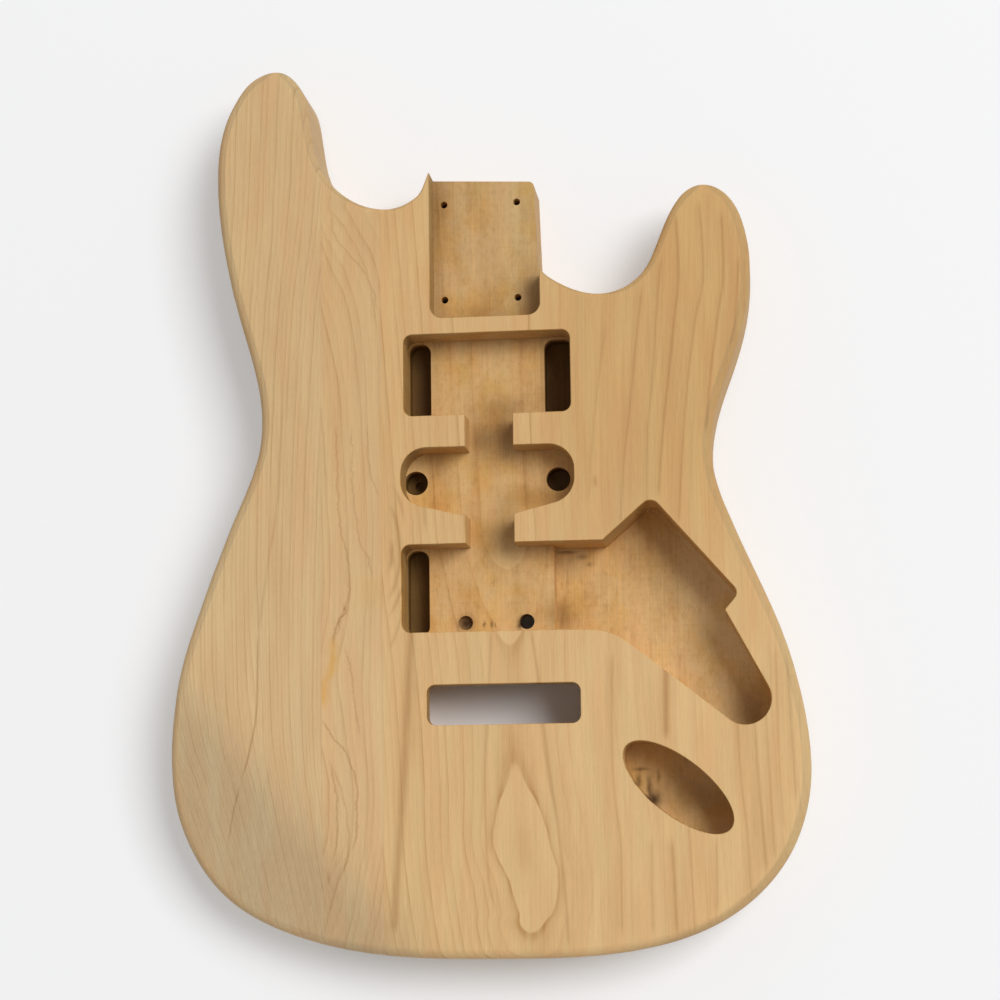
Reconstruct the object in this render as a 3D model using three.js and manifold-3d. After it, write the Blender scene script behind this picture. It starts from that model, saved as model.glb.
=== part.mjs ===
// Solid electric guitar body: four boards glued edge to edge, shaped with rounded edges, a forearm contour
// and a belly contour, and routed for the neck, three pickups, the controls, the output jack and the
// vibrato bridge with its springs. Millimetres. The front faces up (+Z) and the neck end points along +Y.
// The origin is at the middle of the outline, on the level of the back.
import * as THREE from "three";
import { mergeVertices } from "three/addons/utils/BufferGeometryUtils.js";
import Module from "manifold-3d";

const wasm = await Module();
wasm.setup();

// Blank
const bodyLength = 458.8;
const bodyWidth = 322.6;
const bodyThickness = 44.5;
const edgeRadius = 9.5;
const edgeBendShare = 0.9;
const edgeSteps = 3;
const outlineStepDegrees = 6;

// Glue lines between the boards, from the bass side to the treble side, measured from the neck axis
const glueFilm = 0.125;
const outerGlueOffset = -85;
const innerGlueOffset = -54;
const trebleGlueOffset = 85;

// Neck axis and the pocket's inner end, measured from the middle of the outline
const neckAxisShare = 0.02;
const pocketEndShare = 0.4065;

// Neck pocket, its heel and the four neck screw holes
const pocketWidth = 56.4;
const pocketLength = 75.5;
const pocketDepth = 15.9;
const pocketCornerRadius = 6.3;
const heelRootInset = 2.2;
const heelTipInset = 3.4;
const heelRootLength = 44.3;
const heelCornerRadius = 3;
const heelEndSkew = 2.4;
const heelTipFlat = 0.4;
const heelSideHeading = 92;
const heelEndHeading = 177;
const bassTipHeading = 245;
const neckScrewSpan = 38.1;
const neckScrewPitch = 50.8;
const neckScrewInset = 12.9;
const neckScrewOffset = -3.5;
const neckScrewHole = 3.7;

// Pickup cavities; each distance runs along the neck axis from the pocket's end to the cavity's middle
const pickupDepth = 20;
const legSlotDepth = 33;
const pickupCornerRadius = 4.5;
const neckPickupDistance = 29.45;
const neckPickupWidth = 85.5;
const neckPickupLength = 42.3;
const neckPickupOffset = 0.45;
const bassLegSlotWidth = 11.6;
const trebleLegSlotWidth = 14.9;
const middlePickupDistance = 84.5;
const middlePickupWidth = 88.4;
const middlePickupLength = 35;
const middlePickupFoot = 26.8;
const middleShoulder = 7.5;
const middleEndRadius = 13;
const middleDrillHole = 12.4;
const bassDrillInset = 5.2;
const trebleDrillInset = 9.6;
const middleDrillLift = 2.3;
const bridgePickupDistance = 138.8;
const bridgePickupWidth = 88;
const bridgePickupLength = 44.6;
const channelWidth = 24.5;
const channelOffset = 1.3;

// Control cavity. Its corners are shares of its reach and span, from the edge where it leaves the bridge
// pickup's cavity and from that cavity's middle, and each has its radius as a share of the reach.
const controlDepth = 33;
const controlReach = 110;
const controlSpan = 118;
const controlStart = 31.7;
const controlShares = [
  [0.27, -0.192, 0.318],
  [1.23, -0.906, 0.117],
  [0.784, -0.121, 0.009],
  [0.85, -0.049, 0.041],
  [0.462, 0.37, 0.046],
  [0.237, 0.188, 0.009],
];

// Jack route and the wire drillings
const jackDepth = 30;
const jackLength = 65.2;
const jackWidth = 27.6;
const jackTurnDegrees = -38.8;
const jackDistance = 240;
const jackOffset = 92.7;
const jackWireHole = 8;
const jackWireOffset = 98;
const groundWireHole = 7.7;
const groundWireOffset = 17.4;
const pilotOffset = -13.9;
const pilotHole = 7.3;
const pilotDepth = 4;
const wireWallInset = 6.2;

// Bridge slot from the front, block pocket and spring channel from the back
const slotDistance = 197.6;
const slotWidth = 77.1;
const slotLength = 20.2;
const slotOffset = 6.95;
const slotCornerRadius = 4.3;
const blockPocketDepth = 34;
const blockPocketMargin = 7;
const blockPocketLength = 32;
const blockPocketShift = 2;
const springDepth = 16;
const springWidth = 57;
const springLength = 88;

// Forearm contour on the front, lower bass side
const forearmStartShares = [-0.376, -0.718];
const forearmHeadingDegrees = 222;
const forearmSlopeDegrees = 12;
const forearmBlendRadius = 180;
const forearmSteps = 4;

// Belly contour on the back, at the bass waist
const bellyWaistShares = [-0.704, 0.21];
const bellyDepth = 15;
const bellyReach = 78;
const bellyRadius = 280;
const bellySegments = 72;

// Cutting tools run past the faces by this much
const overrun = 12;
const holeSegments = 16;
const cornerSteps = 3;
const ovalSteps = 14;

// Body outline, counter-clockwise from the front: x and y as shares of half the width and length, the edge's
// heading in degrees, and the share of the edge radius. A cutaway's x is a share of the way from the pocket's
// wall to the horn beside it, and its y a share of the pocket's length.
const bassCutawayShares = [
  [0.129, 0.845, -145, 0.25],
  [0.37, 0.78, -179, 0.5],
  [0.789, 0.906, -220, 0.6],
];
const outlineShares = [
  [-0.52, 0.784, -250, 0.75],
  [-0.543, 0.867, -261, 0.9],
  [-0.572, 0.952, -240, 1],
  [-0.632, 0.996, -203, 1],
  [-0.726, 0.985, -149, 1],
  [-0.799, 0.922, -119, 1],
  [-0.85, 0.764, -91, 1],
  [-0.798, 0.484, -77, 1],
  [-0.744, 0.349, -74, 1],
  [-0.704, 0.213, -86, 1],
  [-0.717, 0.1, -105, 1],
  [-0.799, -0.045, -113, 1],
  [-0.921, -0.275, -109, 1],
  [-0.979, -0.425, -99, 1],
  [-1, -0.567, -90, 1],
  [-0.973, -0.708, -71, 1],
  [-0.843, -0.857, -44, 1],
  [-0.591, -0.953, -18, 1],
  [0.021, -1, 0, 1],
  [0.524, -0.975, 13, 1],
  [0.774, -0.901, 35, 1],
  [0.949, -0.758, 65, 1],
  [1, -0.593, 90, 1],
  [0.956, -0.382, 104, 1],
  [0.849, -0.18, 114, 1],
  [0.759, -0.029, 111, 1],
  [0.723, 0.111, 86, 1],
  [0.778, 0.261, 69, 1],
  [0.849, 0.433, 82, 1],
  [0.849, 0.569, 101, 1],
  [0.794, 0.663, 132, 1],
  [0.721, 0.691, 176, 1],
  [0.64, 0.662, 231, 0.85],
];
const trebleCutawayShares = [
  [0.839, 0.47, 248, 0.7],
  [0.706, 0.243, 224, 0.6],
  [0.423, 0.132, 180, 0.55],
  [0.084, 0.246, 147, 0.35],
];
const heelRoundShare = 0.1;

const neckAxisX = (neckAxisShare * bodyWidth) / 2;
const pocketEndY = (pocketEndShare * bodyLength) / 2;

// A closed three.js geometry as a solid that can be cut and joined.
function solidOf(geometry) {
  const bare = geometry.clone();
  bare.deleteAttribute("normal");
  bare.deleteAttribute("uv");
  const merged = mergeVertices(bare);
  return new wasm.Manifold(
    new wasm.Mesh({
      numProp: 3,
      vertProperties: merged.attributes.position.array,
      triVerts: new Uint32Array(merged.index.array),
    }),
  );
}

function geometryOf(solid) {
  const mesh = solid.getMesh();
  const geometry = new THREE.BufferGeometry();
  geometry.setAttribute("position", new THREE.BufferAttribute(mesh.vertProperties, 3));
  geometry.setIndex(new THREE.BufferAttribute(mesh.triVerts, 1));
  geometry.computeVertexNormals();
  return geometry;
}

// An upright prism of a flat shape between two heights.
function prism(shape, bottom, top, steps = cornerSteps) {
  const settings = { depth: top - bottom, bevelEnabled: false, curveSegments: steps };
  const geometry = new THREE.ExtrudeGeometry(shape, settings);
  geometry.translate(0, 0, bottom);
  return solidOf(geometry);
}

// A closed shape through corners, each [x, y, radius].
function roundedShape(corners) {
  const shape = new THREE.Shape();
  corners.forEach(([x, y, radius], i) => {
    const here = new THREE.Vector2(x, y);
    const [beforeX, beforeY] = corners.at(i - 1);
    const [afterX, afterY] = corners[(i + 1) % corners.length];
    const toBefore = new THREE.Vector2(beforeX, beforeY).sub(here).normalize();
    const toAfter = new THREE.Vector2(afterX, afterY).sub(here).normalize();
    const halfAngle = Math.acos(toBefore.dot(toAfter)) / 2;
    const reach = radius / Math.tan(halfAngle);
    const start = here.clone().addScaledVector(toBefore, reach);
    const end = here.clone().addScaledVector(toAfter, reach);
    if (i === 0) shape.moveTo(start.x, start.y);
    else shape.lineTo(start.x, start.y);
    if (radius === 0) return;
    const middle = toBefore.clone().add(toAfter).normalize();
    const centre = here.clone().addScaledVector(middle, radius / Math.sin(halfAngle));
    const from = Math.atan2(start.y - centre.y, start.x - centre.x);
    const to = Math.atan2(end.y - centre.y, end.x - centre.x);
    shape.absarc(centre.x, centre.y, radius, from, to, toBefore.cross(toAfter) > 0);
  });
  return shape;
}

// A rounded rectangle with its middle at (x, y).
function rectangle(x, y, width, length, radius) {
  return roundedShape([
    [x - width / 2, y - length / 2, radius],
    [x + width / 2, y - length / 2, radius],
    [x + width / 2, y + length / 2, radius],
    [x - width / 2, y + length / 2, radius],
  ]);
}

// An upright drilled hole between two heights.
function drilling(x, y, diameter, bottom, top) {
  const radius = diameter / 2;
  const geometry = new THREE.CylinderGeometry(radius, radius, top - bottom, holeSegments);
  geometry.rotateX(Math.PI / 2);
  geometry.translate(x, y, (top + bottom) / 2);
  return solidOf(geometry);
}

// Stations of the heel, from its root on the treble side round the neck end to the bass cutaway's tip.
function heelStations() {
  const wall = neckAxisX + pocketWidth / 2;
  const end = pocketEndY + pocketLength;
  const rootX = wall - heelRootInset;
  const tipX = wall - heelTipInset;
  const trebleEnd = end - heelEndSkew / 2;
  const bassEnd = end + heelEndSkew / 2;
  const bassX = neckAxisX - pocketWidth / 2 - heelTipFlat;
  const corner = heelCornerRadius;
  const round = heelRoundShare;
  return [
    { x: rootX, y: end - heelRootLength, heading: heelSideHeading, round },
    { x: tipX, y: trebleEnd - corner, heading: heelSideHeading, round },
    { x: tipX - corner, y: trebleEnd, heading: heelEndHeading, round },
    { x: bassX, y: bassEnd, heading: heelEndHeading, round },
    { x: bassX, y: bassEnd, heading: bassTipHeading, round },
  ];
}

// Stations placed from a base point, with shares of a reach along each axis.
function placed(table, [baseX, baseY], [reachX, reachY]) {
  return table.map(([x, y, heading, round]) => ({
    x: baseX + x * reachX,
    y: baseY + y * reachY,
    heading: (heading + 720) % 360,
    round,
  }));
}

// Stations of a cutaway between the pocket's wall and a horn: side -1 is the bass one.
function cutawayStations(side, table, [hornShare]) {
  const wall = neckAxisX + (side * pocketWidth) / 2;
  const gap = (hornShare * bodyWidth) / 2 - wall;
  return placed(table, [wall, pocketEndY], [gap, pocketLength]);
}

// All stations of the body's outline in millimetres.
function bodyStations() {
  return [
    ...heelStations(),
    ...cutawayStations(-1, bassCutawayShares, outlineShares[0]),
    ...placed(outlineShares, [0, 0], [bodyWidth / 2, bodyLength / 2]),
    ...cutawayStations(1, trebleCutawayShares, outlineShares.at(-1)),
  ];
}

// The signed turn from one heading to the next, in degrees.
function turnBetween(from, to) {
  return ((to - from + 540) % 360) - 180;
}

// The radius of the circle through three points of the outline, or endless where it runs straight or inwards.
function bendAt(before, here, after) {
  const entering = here.clone().sub(before);
  const leaving = after.clone().sub(here);
  const turn = entering.cross(leaving);
  if (turn <= 0) return Infinity;
  return (entering.length() * leaving.length() * before.distanceTo(after)) / (2 * turn);
}

// Points along the outline: a cubic curve between two stations leaves and arrives at their headings. The
// rounding of the edge is nowhere wider than a share of the outline's tightest bend nearby.
function outlinePoints() {
  const stations = bodyStations();
  const points = stations.flatMap((from, i) => {
    const to = stations[(i + 1) % stations.length];
    const start = new THREE.Vector2(from.x, from.y);
    const end = new THREE.Vector2(to.x, to.y);
    const turn = turnBetween(from.heading, to.heading);
    const chord = start.distanceTo(end);
    if (chord === 0) return [];
    const handle = chord / (3 * Math.cos(THREE.MathUtils.degToRad(turn) / 4) ** 2);
    const along = (heading) => {
      const angle = THREE.MathUtils.degToRad(heading);
      return new THREE.Vector2(Math.cos(angle), Math.sin(angle));
    };
    const curve = new THREE.CubicBezierCurve(
      start,
      start.clone().addScaledVector(along(from.heading), handle),
      end.clone().addScaledVector(along(to.heading), -handle),
      end,
    );
    const steps = Math.max(1, Math.ceil(Math.abs(turn) / outlineStepDegrees));
    return Array.from({ length: steps }, (_, k) => {
      const share = k / steps;
      const tangent = curve.getTangent(share);
      const place = curve.getPoint(share);
      const round = from.round + (to.round - from.round) * share;
      return { place, inward: new THREE.Vector2(-tangent.y, tangent.x), radius: round * edgeRadius };
    });
  });
  const bends = points.map(({ place }, i) =>
    bendAt(points.at(i - 1).place, place, points[(i + 1) % points.length].place),
  );
  return points.map(({ place, inward, radius }) => {
    const nearby = bends.filter((bend, i) => points[i].place.distanceTo(place) < 2 * radius);
    return { place, inward, radius: Math.min(radius, edgeBendShare * Math.min(...nearby)) };
  });
}

// The blank with its outline and rounded edges. Its top lies on the plane that topAt gives.
function roundedSlab(outline, topAt, floor, roundBelow) {
  const rings = [];
  const addRing = (inset, heightAt) => {
    rings.push(
      outline.map(({ place, inward, radius }) => {
        const point = place.clone().addScaledVector(inward, radius * inset);
        return new THREE.Vector3(point.x, point.y, heightAt(point, radius));
      }),
    );
  };
  const quarter = Array.from({ length: edgeSteps + 1 }, (_, k) => ((k / edgeSteps) * Math.PI) / 2);
  const lower = roundBelow ? quarter.toReversed() : [0];
  lower.forEach((angle) => {
    const drop = roundBelow ? 1 - Math.sin(angle) : 0;
    addRing(1 - Math.cos(angle), (point, radius) => floor + radius * drop);
  });
  quarter.forEach((angle) => {
    const drop = 1 - Math.sin(angle);
    addRing(1 - Math.cos(angle), (point, radius) => topAt(point) - radius * drop);
  });
  const count = outline.length;
  const index = [];
  rings.slice(1).forEach((ring, r) => {
    for (let i = 0; i < count; i++) {
      const next = (i + 1) % count;
      const a = r * count + i;
      const b = r * count + next;
      index.push(a, b, b + count, a, b + count, a + count);
    }
  });
  const flat = (ring) => ring.map((point) => new THREE.Vector2(point.x, point.y));
  const top = (rings.length - 1) * count;
  THREE.ShapeUtils.triangulateShape(flat(rings.at(-1)), []).forEach(([a, b, c]) => {
    index.push(top + a, top + b, top + c);
  });
  THREE.ShapeUtils.triangulateShape(flat(rings[0]), []).forEach(([a, b, c]) => {
    index.push(a, c, b);
  });
  const geometry = new THREE.BufferGeometry().setFromPoints(rings.flat());
  geometry.setIndex(index);
  return solidOf(geometry);
}

// The blank, rounded, with the forearm contour as planes that follow a large rounding.
function contouredBlank() {
  const outline = outlinePoints();
  const heading = THREE.MathUtils.degToRad(forearmHeadingDegrees);
  const start = new THREE.Vector2(
    (forearmStartShares[0] * bodyWidth) / 2,
    (forearmStartShares[1] * bodyLength) / 2,
  );
  const down = new THREE.Vector2(Math.cos(heading), Math.sin(heading));
  let blank = roundedSlab(outline, () => bodyThickness, 0, true);
  for (let k = 1; k <= forearmSteps; k++) {
    const angle = THREE.MathUtils.degToRad((forearmSlopeDegrees * k) / forearmSteps);
    const fold = forearmBlendRadius * Math.tan(angle / 2);
    const topAt = (point) => bodyThickness - (point.clone().sub(start).dot(down) - fold) * Math.tan(angle);
    blank = blank.intersect(roundedSlab(outline, topAt, -overrun, false));
  }
  return blank.subtract(bellyTool());
}

// A large cylinder that scoops the belly contour out of the back, deepest at the edge.
function bellyTool() {
  const length = 2 * (bellyReach + overrun);
  const geometry = new THREE.CylinderGeometry(bellyRadius, bellyRadius, length, bellySegments);
  geometry.rotateZ(Math.PI / 2);
  geometry.translate(0, 0, -bellyRadius);
  geometry.rotateY(Math.atan2(bellyDepth, bellyReach));
  const [x, y] = bellyWaistShares;
  geometry.translate((x * bodyWidth) / 2, (y * bodyLength) / 2, bellyDepth);
  return solidOf(geometry);
}

// The cutters below are placed along the neck axis: x from the axis, y from the pocket's inner end.
const frontLevel = bodyThickness + overrun;

function neckPocketCut() {
  const half = pocketWidth / 2;
  const mouth = pocketLength + overrun;
  const shape = roundedShape([
    [-half, 0, pocketCornerRadius],
    [half, 0, pocketCornerRadius],
    [half, mouth, 0],
    [-half, mouth, 0],
  ]);
  return prism(shape, bodyThickness - pocketDepth, frontLevel);
}

function neckScrewCuts() {
  const cuts = [];
  for (const row of [0, 1]) {
    for (const side of [-1, 1]) {
      const x = neckScrewOffset + (side * neckScrewSpan) / 2;
      const y = neckScrewInset + row * neckScrewPitch;
      cuts.push(drilling(x, y, neckScrewHole, -overrun, frontLevel));
    }
  }
  return cuts;
}

// A leg slot at one end of a pickup cavity: side -1 is the bass end.
function legSlotCut(side, middleX, middleY, width, length, legWidth) {
  const x = middleX + (side * (width - legWidth)) / 2;
  const shape = rectangle(x, middleY, legWidth, length, pickupCornerRadius);
  return prism(shape, bodyThickness - legSlotDepth, frontLevel);
}

function neckPickupCuts() {
  const [x, y] = [neckPickupOffset, -neckPickupDistance];
  const shape = rectangle(x, y, neckPickupWidth, neckPickupLength, pickupCornerRadius);
  return [
    prism(shape, bodyThickness - pickupDepth, frontLevel),
    legSlotCut(-1, x, y, neckPickupWidth, neckPickupLength, bassLegSlotWidth),
    legSlotCut(1, x, y, neckPickupWidth, neckPickupLength, trebleLegSlotWidth),
  ];
}

function middlePickupCuts() {
  const half = middlePickupWidth / 2;
  const top = middlePickupLength / 2 - middlePickupDistance;
  const foot = -middlePickupLength / 2 - middlePickupDistance;
  const shape = roundedShape([
    [-middlePickupFoot / 2, foot, 0],
    [middlePickupFoot / 2, foot, 0],
    [half, foot + middleShoulder, middleEndRadius],
    [half, top, middleEndRadius],
    [-half, top, middleEndRadius],
    [-half, foot + middleShoulder, middleEndRadius],
  ]);
  const drillY = middleDrillLift - middlePickupDistance;
  const floor = bodyThickness - legSlotDepth;
  return [
    prism(shape, bodyThickness - pickupDepth, frontLevel),
    drilling(bassDrillInset - half, drillY, middleDrillHole, floor, frontLevel),
    drilling(half - trebleDrillInset, drillY, middleDrillHole, floor, frontLevel),
  ];
}

function bridgePickupCuts() {
  const bassEnd = bridgePickupWidth / 2;
  const half = bridgePickupLength / 2;
  const shape = roundedShape([
    [-bassEnd, -bridgePickupDistance - half, pickupCornerRadius],
    [controlStart + pickupCornerRadius, -bridgePickupDistance - half, 0],
    [controlStart + pickupCornerRadius, -bridgePickupDistance + half, 0],
    [-bassEnd, -bridgePickupDistance + half, pickupCornerRadius],
  ]);
  return [
    prism(shape, bodyThickness - pickupDepth, frontLevel),
    legSlotCut(-1, 0, -bridgePickupDistance, bridgePickupWidth, bridgePickupLength, bassLegSlotWidth),
  ];
}

// The wire channels between the three pickup cavities.
function channelCut() {
  const length = bridgePickupDistance - neckPickupDistance;
  const y = -(bridgePickupDistance + neckPickupDistance) / 2;
  const shape = rectangle(channelOffset, y, channelWidth, length, 0);
  return prism(shape, bodyThickness - pickupDepth, frontLevel);
}

function controlCut() {
  const half = bridgePickupLength / 2;
  const corners = controlShares.map(([x, y, radius]) => [
    controlStart + x * controlReach,
    y * controlSpan - bridgePickupDistance,
    radius * controlReach,
  ]);
  const shape = roundedShape([
    [controlStart, half - bridgePickupDistance, 0],
    [controlStart, -half - bridgePickupDistance, 0],
    ...corners,
  ]);
  return prism(shape, bodyThickness - controlDepth, frontLevel);
}

function jackCut() {
  const shape = new THREE.Shape();
  const turn = THREE.MathUtils.degToRad(jackTurnDegrees);
  shape.absellipse(jackOffset, -jackDistance, jackLength / 2, jackWidth / 2, 0, 2 * Math.PI, false, turn);
  return prism(shape, bodyThickness - jackDepth, frontLevel, ovalSteps);
}

// The level drilling for the jack's wires, from the jack route into the control cavity.
function jackWireCut() {
  const from = -jackDistance;
  const to = -bridgePickupDistance - controlSpan / 2 + jackWireHole;
  const radius = jackWireHole / 2;
  const geometry = new THREE.CylinderGeometry(radius, radius, to - from, holeSegments);
  geometry.translate(jackWireOffset, (from + to) / 2, bodyThickness - jackDepth + jackWireHole);
  return solidOf(geometry);
}

// The ground wire's drilling down to the spring channel, and a shallow pilot beside it.
function wireCuts() {
  const wall = -bridgePickupDistance - bridgePickupLength / 2;
  const floor = bodyThickness - pickupDepth;
  return [
    drilling(groundWireOffset, wall + wireWallInset, groundWireHole, springDepth / 2, frontLevel),
    drilling(pilotOffset, wall + wireWallInset, pilotHole, floor - pilotDepth, frontLevel),
  ];
}

function bridgeSlotCuts() {
  const slot = rectangle(slotOffset, -slotDistance, slotWidth, slotLength, slotCornerRadius);
  const pocketY = -slotDistance - blockPocketShift;
  const pocketSize = slotWidth + 2 * blockPocketMargin;
  const pocket = rectangle(slotOffset, pocketY, pocketSize, blockPocketLength, slotCornerRadius);
  const springFoot = pocketY + blockPocketLength / 2 - slotCornerRadius;
  const springs = rectangle(0, springFoot + springLength / 2, springWidth, springLength, slotCornerRadius);
  return [
    prism(slot, blockPocketDepth / 2, frontLevel),
    prism(pocket, -overrun, blockPocketDepth),
    prism(springs, -overrun, springDepth),
  ];
}

function routedBody() {
  const cuts = [
    neckPocketCut(),
    ...neckScrewCuts(),
    ...neckPickupCuts(),
    ...middlePickupCuts(),
    ...bridgePickupCuts(),
    channelCut(),
    controlCut(),
    jackCut(),
    jackWireCut(),
    ...wireCuts(),
    ...bridgeSlotCuts(),
  ];
  return cuts.reduce(
    (body, cut) => body.subtract(cut.translate(neckAxisX, pocketEndY, 0)),
    contouredBlank(),
  );
}

// The slice of the body between two upright planes across its width.
function slice(body, from, to) {
  const geometry = new THREE.BoxGeometry(to - from, bodyLength + overrun, bodyThickness + overrun);
  geometry.translate((from + to) / 2, 0, bodyThickness / 2);
  return body.intersect(solidOf(geometry));
}

const alder = { color: 0xd2b083, roughness: 0.62, metalness: 0 };
const driedGlue = { color: 0x8a6238, roughness: 0.5, metalness: 0 };

function piece(name, solid, finish) {
  const mesh = new THREE.Mesh(geometryOf(solid), new THREE.MeshStandardMaterial(finish));
  mesh.name = name;
  return mesh;
}

function guitarBody() {
  const body = routedBody();
  const group = new THREE.Group();
  const glueLines = [
    ["outer_glue_line", outerGlueOffset],
    ["inner_glue_line", innerGlueOffset],
    ["treble_glue_line", trebleGlueOffset],
  ];
  const boards = ["outer_bass_board", "inner_bass_board", "centre_board", "treble_board"];
  let from = -bodyWidth;
  boards.forEach((name, i) => {
    const glue = glueLines[i];
    const line = glue ? Math.round((neckAxisX + glue[1]) / glueFilm) * glueFilm : bodyWidth;
    group.add(piece(name, slice(body, from, line), alder));
    if (!glue) return;
    group.add(piece(glue[0], slice(body, line, line + glueFilm), driedGlue));
    from = line + glueFilm;
  });
  return group;
}

export default guitarBody();
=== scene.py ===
"""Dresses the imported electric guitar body: four glued boards in bare, sanded wood on a pale floor."""
import math
import bmesh
import bpy
from bpy.props import FloatProperty, FloatVectorProperty, IntProperty, PointerProperty
from bpy.types import Operator, Panel, PropertyGroup
from mathutils import Matrix, Vector


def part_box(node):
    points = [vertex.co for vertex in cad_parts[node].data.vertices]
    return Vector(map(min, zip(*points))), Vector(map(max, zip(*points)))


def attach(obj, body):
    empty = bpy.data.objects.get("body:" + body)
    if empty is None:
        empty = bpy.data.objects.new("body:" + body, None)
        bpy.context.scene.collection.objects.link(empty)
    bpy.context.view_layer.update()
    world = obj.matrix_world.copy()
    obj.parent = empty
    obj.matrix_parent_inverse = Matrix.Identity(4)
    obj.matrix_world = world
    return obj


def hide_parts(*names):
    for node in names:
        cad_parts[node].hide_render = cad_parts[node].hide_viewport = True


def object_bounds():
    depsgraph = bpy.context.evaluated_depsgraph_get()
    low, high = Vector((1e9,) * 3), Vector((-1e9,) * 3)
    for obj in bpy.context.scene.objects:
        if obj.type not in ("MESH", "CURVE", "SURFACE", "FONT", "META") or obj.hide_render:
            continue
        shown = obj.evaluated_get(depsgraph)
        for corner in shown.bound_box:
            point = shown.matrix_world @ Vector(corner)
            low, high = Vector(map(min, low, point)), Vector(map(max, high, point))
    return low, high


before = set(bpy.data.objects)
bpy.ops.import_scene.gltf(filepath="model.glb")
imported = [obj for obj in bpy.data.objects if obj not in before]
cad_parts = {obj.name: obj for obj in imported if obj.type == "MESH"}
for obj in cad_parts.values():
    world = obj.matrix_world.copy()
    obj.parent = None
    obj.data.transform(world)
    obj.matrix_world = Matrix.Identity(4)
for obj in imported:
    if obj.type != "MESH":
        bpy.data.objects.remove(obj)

bl_info = {
    "name": "Guitar Body",
    "version": (1, 0, 0),
    "blender": (4, 5, 0),
    "location": "3D View > Sidebar > Guitar Body",
    "description": "Models a solid electric guitar body from glued boards, routed and sanded",
    "category": "Add Mesh",
}

MM = 0.001
CAD_LOW, CAD_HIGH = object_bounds()

# Outline, counter-clockwise from the front: x and y as shares of half the width and length, heading in
# degrees, and the share of the edge radius. A cutaway's x is a share of the way from the pocket's wall to
# the horn beside it, and its y a share of the pocket's length.
BASS_CUTAWAY_SHARES = (
    (0.129, 0.845, -145, 0.25),
    (0.37, 0.78, -179, 0.5),
    (0.789, 0.906, -220, 0.6),
)
OUTLINE_SHARES = (
    (-0.52, 0.784, -250, 0.75),
    (-0.543, 0.867, -261, 0.9),
    (-0.572, 0.952, -240, 1),
    (-0.632, 0.996, -203, 1),
    (-0.726, 0.985, -149, 1),
    (-0.799, 0.922, -119, 1),
    (-0.85, 0.764, -91, 1),
    (-0.798, 0.484, -77, 1),
    (-0.744, 0.349, -74, 1),
    (-0.704, 0.213, -86, 1),
    (-0.717, 0.1, -105, 1),
    (-0.799, -0.045, -113, 1),
    (-0.921, -0.275, -109, 1),
    (-0.979, -0.425, -99, 1),
    (-1, -0.567, -90, 1),
    (-0.973, -0.708, -71, 1),
    (-0.843, -0.857, -44, 1),
    (-0.591, -0.953, -18, 1),
    (0.021, -1, 0, 1),
    (0.524, -0.975, 13, 1),
    (0.774, -0.901, 35, 1),
    (0.949, -0.758, 65, 1),
    (1, -0.593, 90, 1),
    (0.956, -0.382, 104, 1),
    (0.849, -0.18, 114, 1),
    (0.759, -0.029, 111, 1),
    (0.723, 0.111, 86, 1),
    (0.778, 0.261, 69, 1),
    (0.849, 0.433, 82, 1),
    (0.849, 0.569, 101, 1),
    (0.794, 0.663, 132, 1),
    (0.721, 0.691, 176, 1),
    (0.64, 0.662, 231, 0.85),
)
TREBLE_CUTAWAY_SHARES = (
    (0.839, 0.47, 248, 0.7),
    (0.706, 0.243, 224, 0.6),
    (0.423, 0.132, 180, 0.55),
    (0.084, 0.246, 147, 0.35),
)
HEEL_ROUND_SHARE = 0.1

# Headings in degrees of the heel's treble wall, of its end and of the bass wall behind its tip.
HEEL_HEADINGS = (92, 177, 245)

# Sides of the neck axis.
BASS, TREBLE = -1, 1

# Control cavity corners: x as a share of its reach, y of its span, corner radius of its reach.
CONTROL_SHARES = (
    (0.27, -0.192, 0.318),
    (1.23, -0.906, 0.117),
    (0.784, -0.121, 0.009),
    (0.85, -0.049, 0.041),
    (0.462, 0.37, 0.046),
    (0.237, 0.188, 0.009),
)
# The two of them at the ends of the outer wall, where the ledge is.
LEDGE_FOOT, LEDGE_TOP = 3, 4


def length(name, description, millimetres):
    """A length property whose default is given in millimetres."""
    return FloatProperty(
        name=name, description=description, default=millimetres * MM, unit="LENGTH", precision=5)


def share(name, description, default):
    return FloatProperty(name=name, description=description, default=default, precision=4)


def degrees(name, description, default):
    """An angle property whose default is given in degrees."""
    return FloatProperty(
        name=name, description=description, default=math.radians(default), subtype="ANGLE")


def facets(name, description, default):
    """A property for the number of facets round a hole."""
    return IntProperty(name=name, description=description, default=default, min=3)


def to_linear(value):
    """The linear value of a display value from 0 to 1."""
    return value / 12.92 if value <= 0.04045 else ((value + 0.055) / 1.055) ** 2.4


def colour(name, description, *display):
    """A colour property whose default is given in display values from 0 to 1."""
    return FloatVectorProperty(
        name=name, description=description, subtype="COLOR", size=3, min=0, max=1,
        default=[to_linear(value) for value in display])


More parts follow.
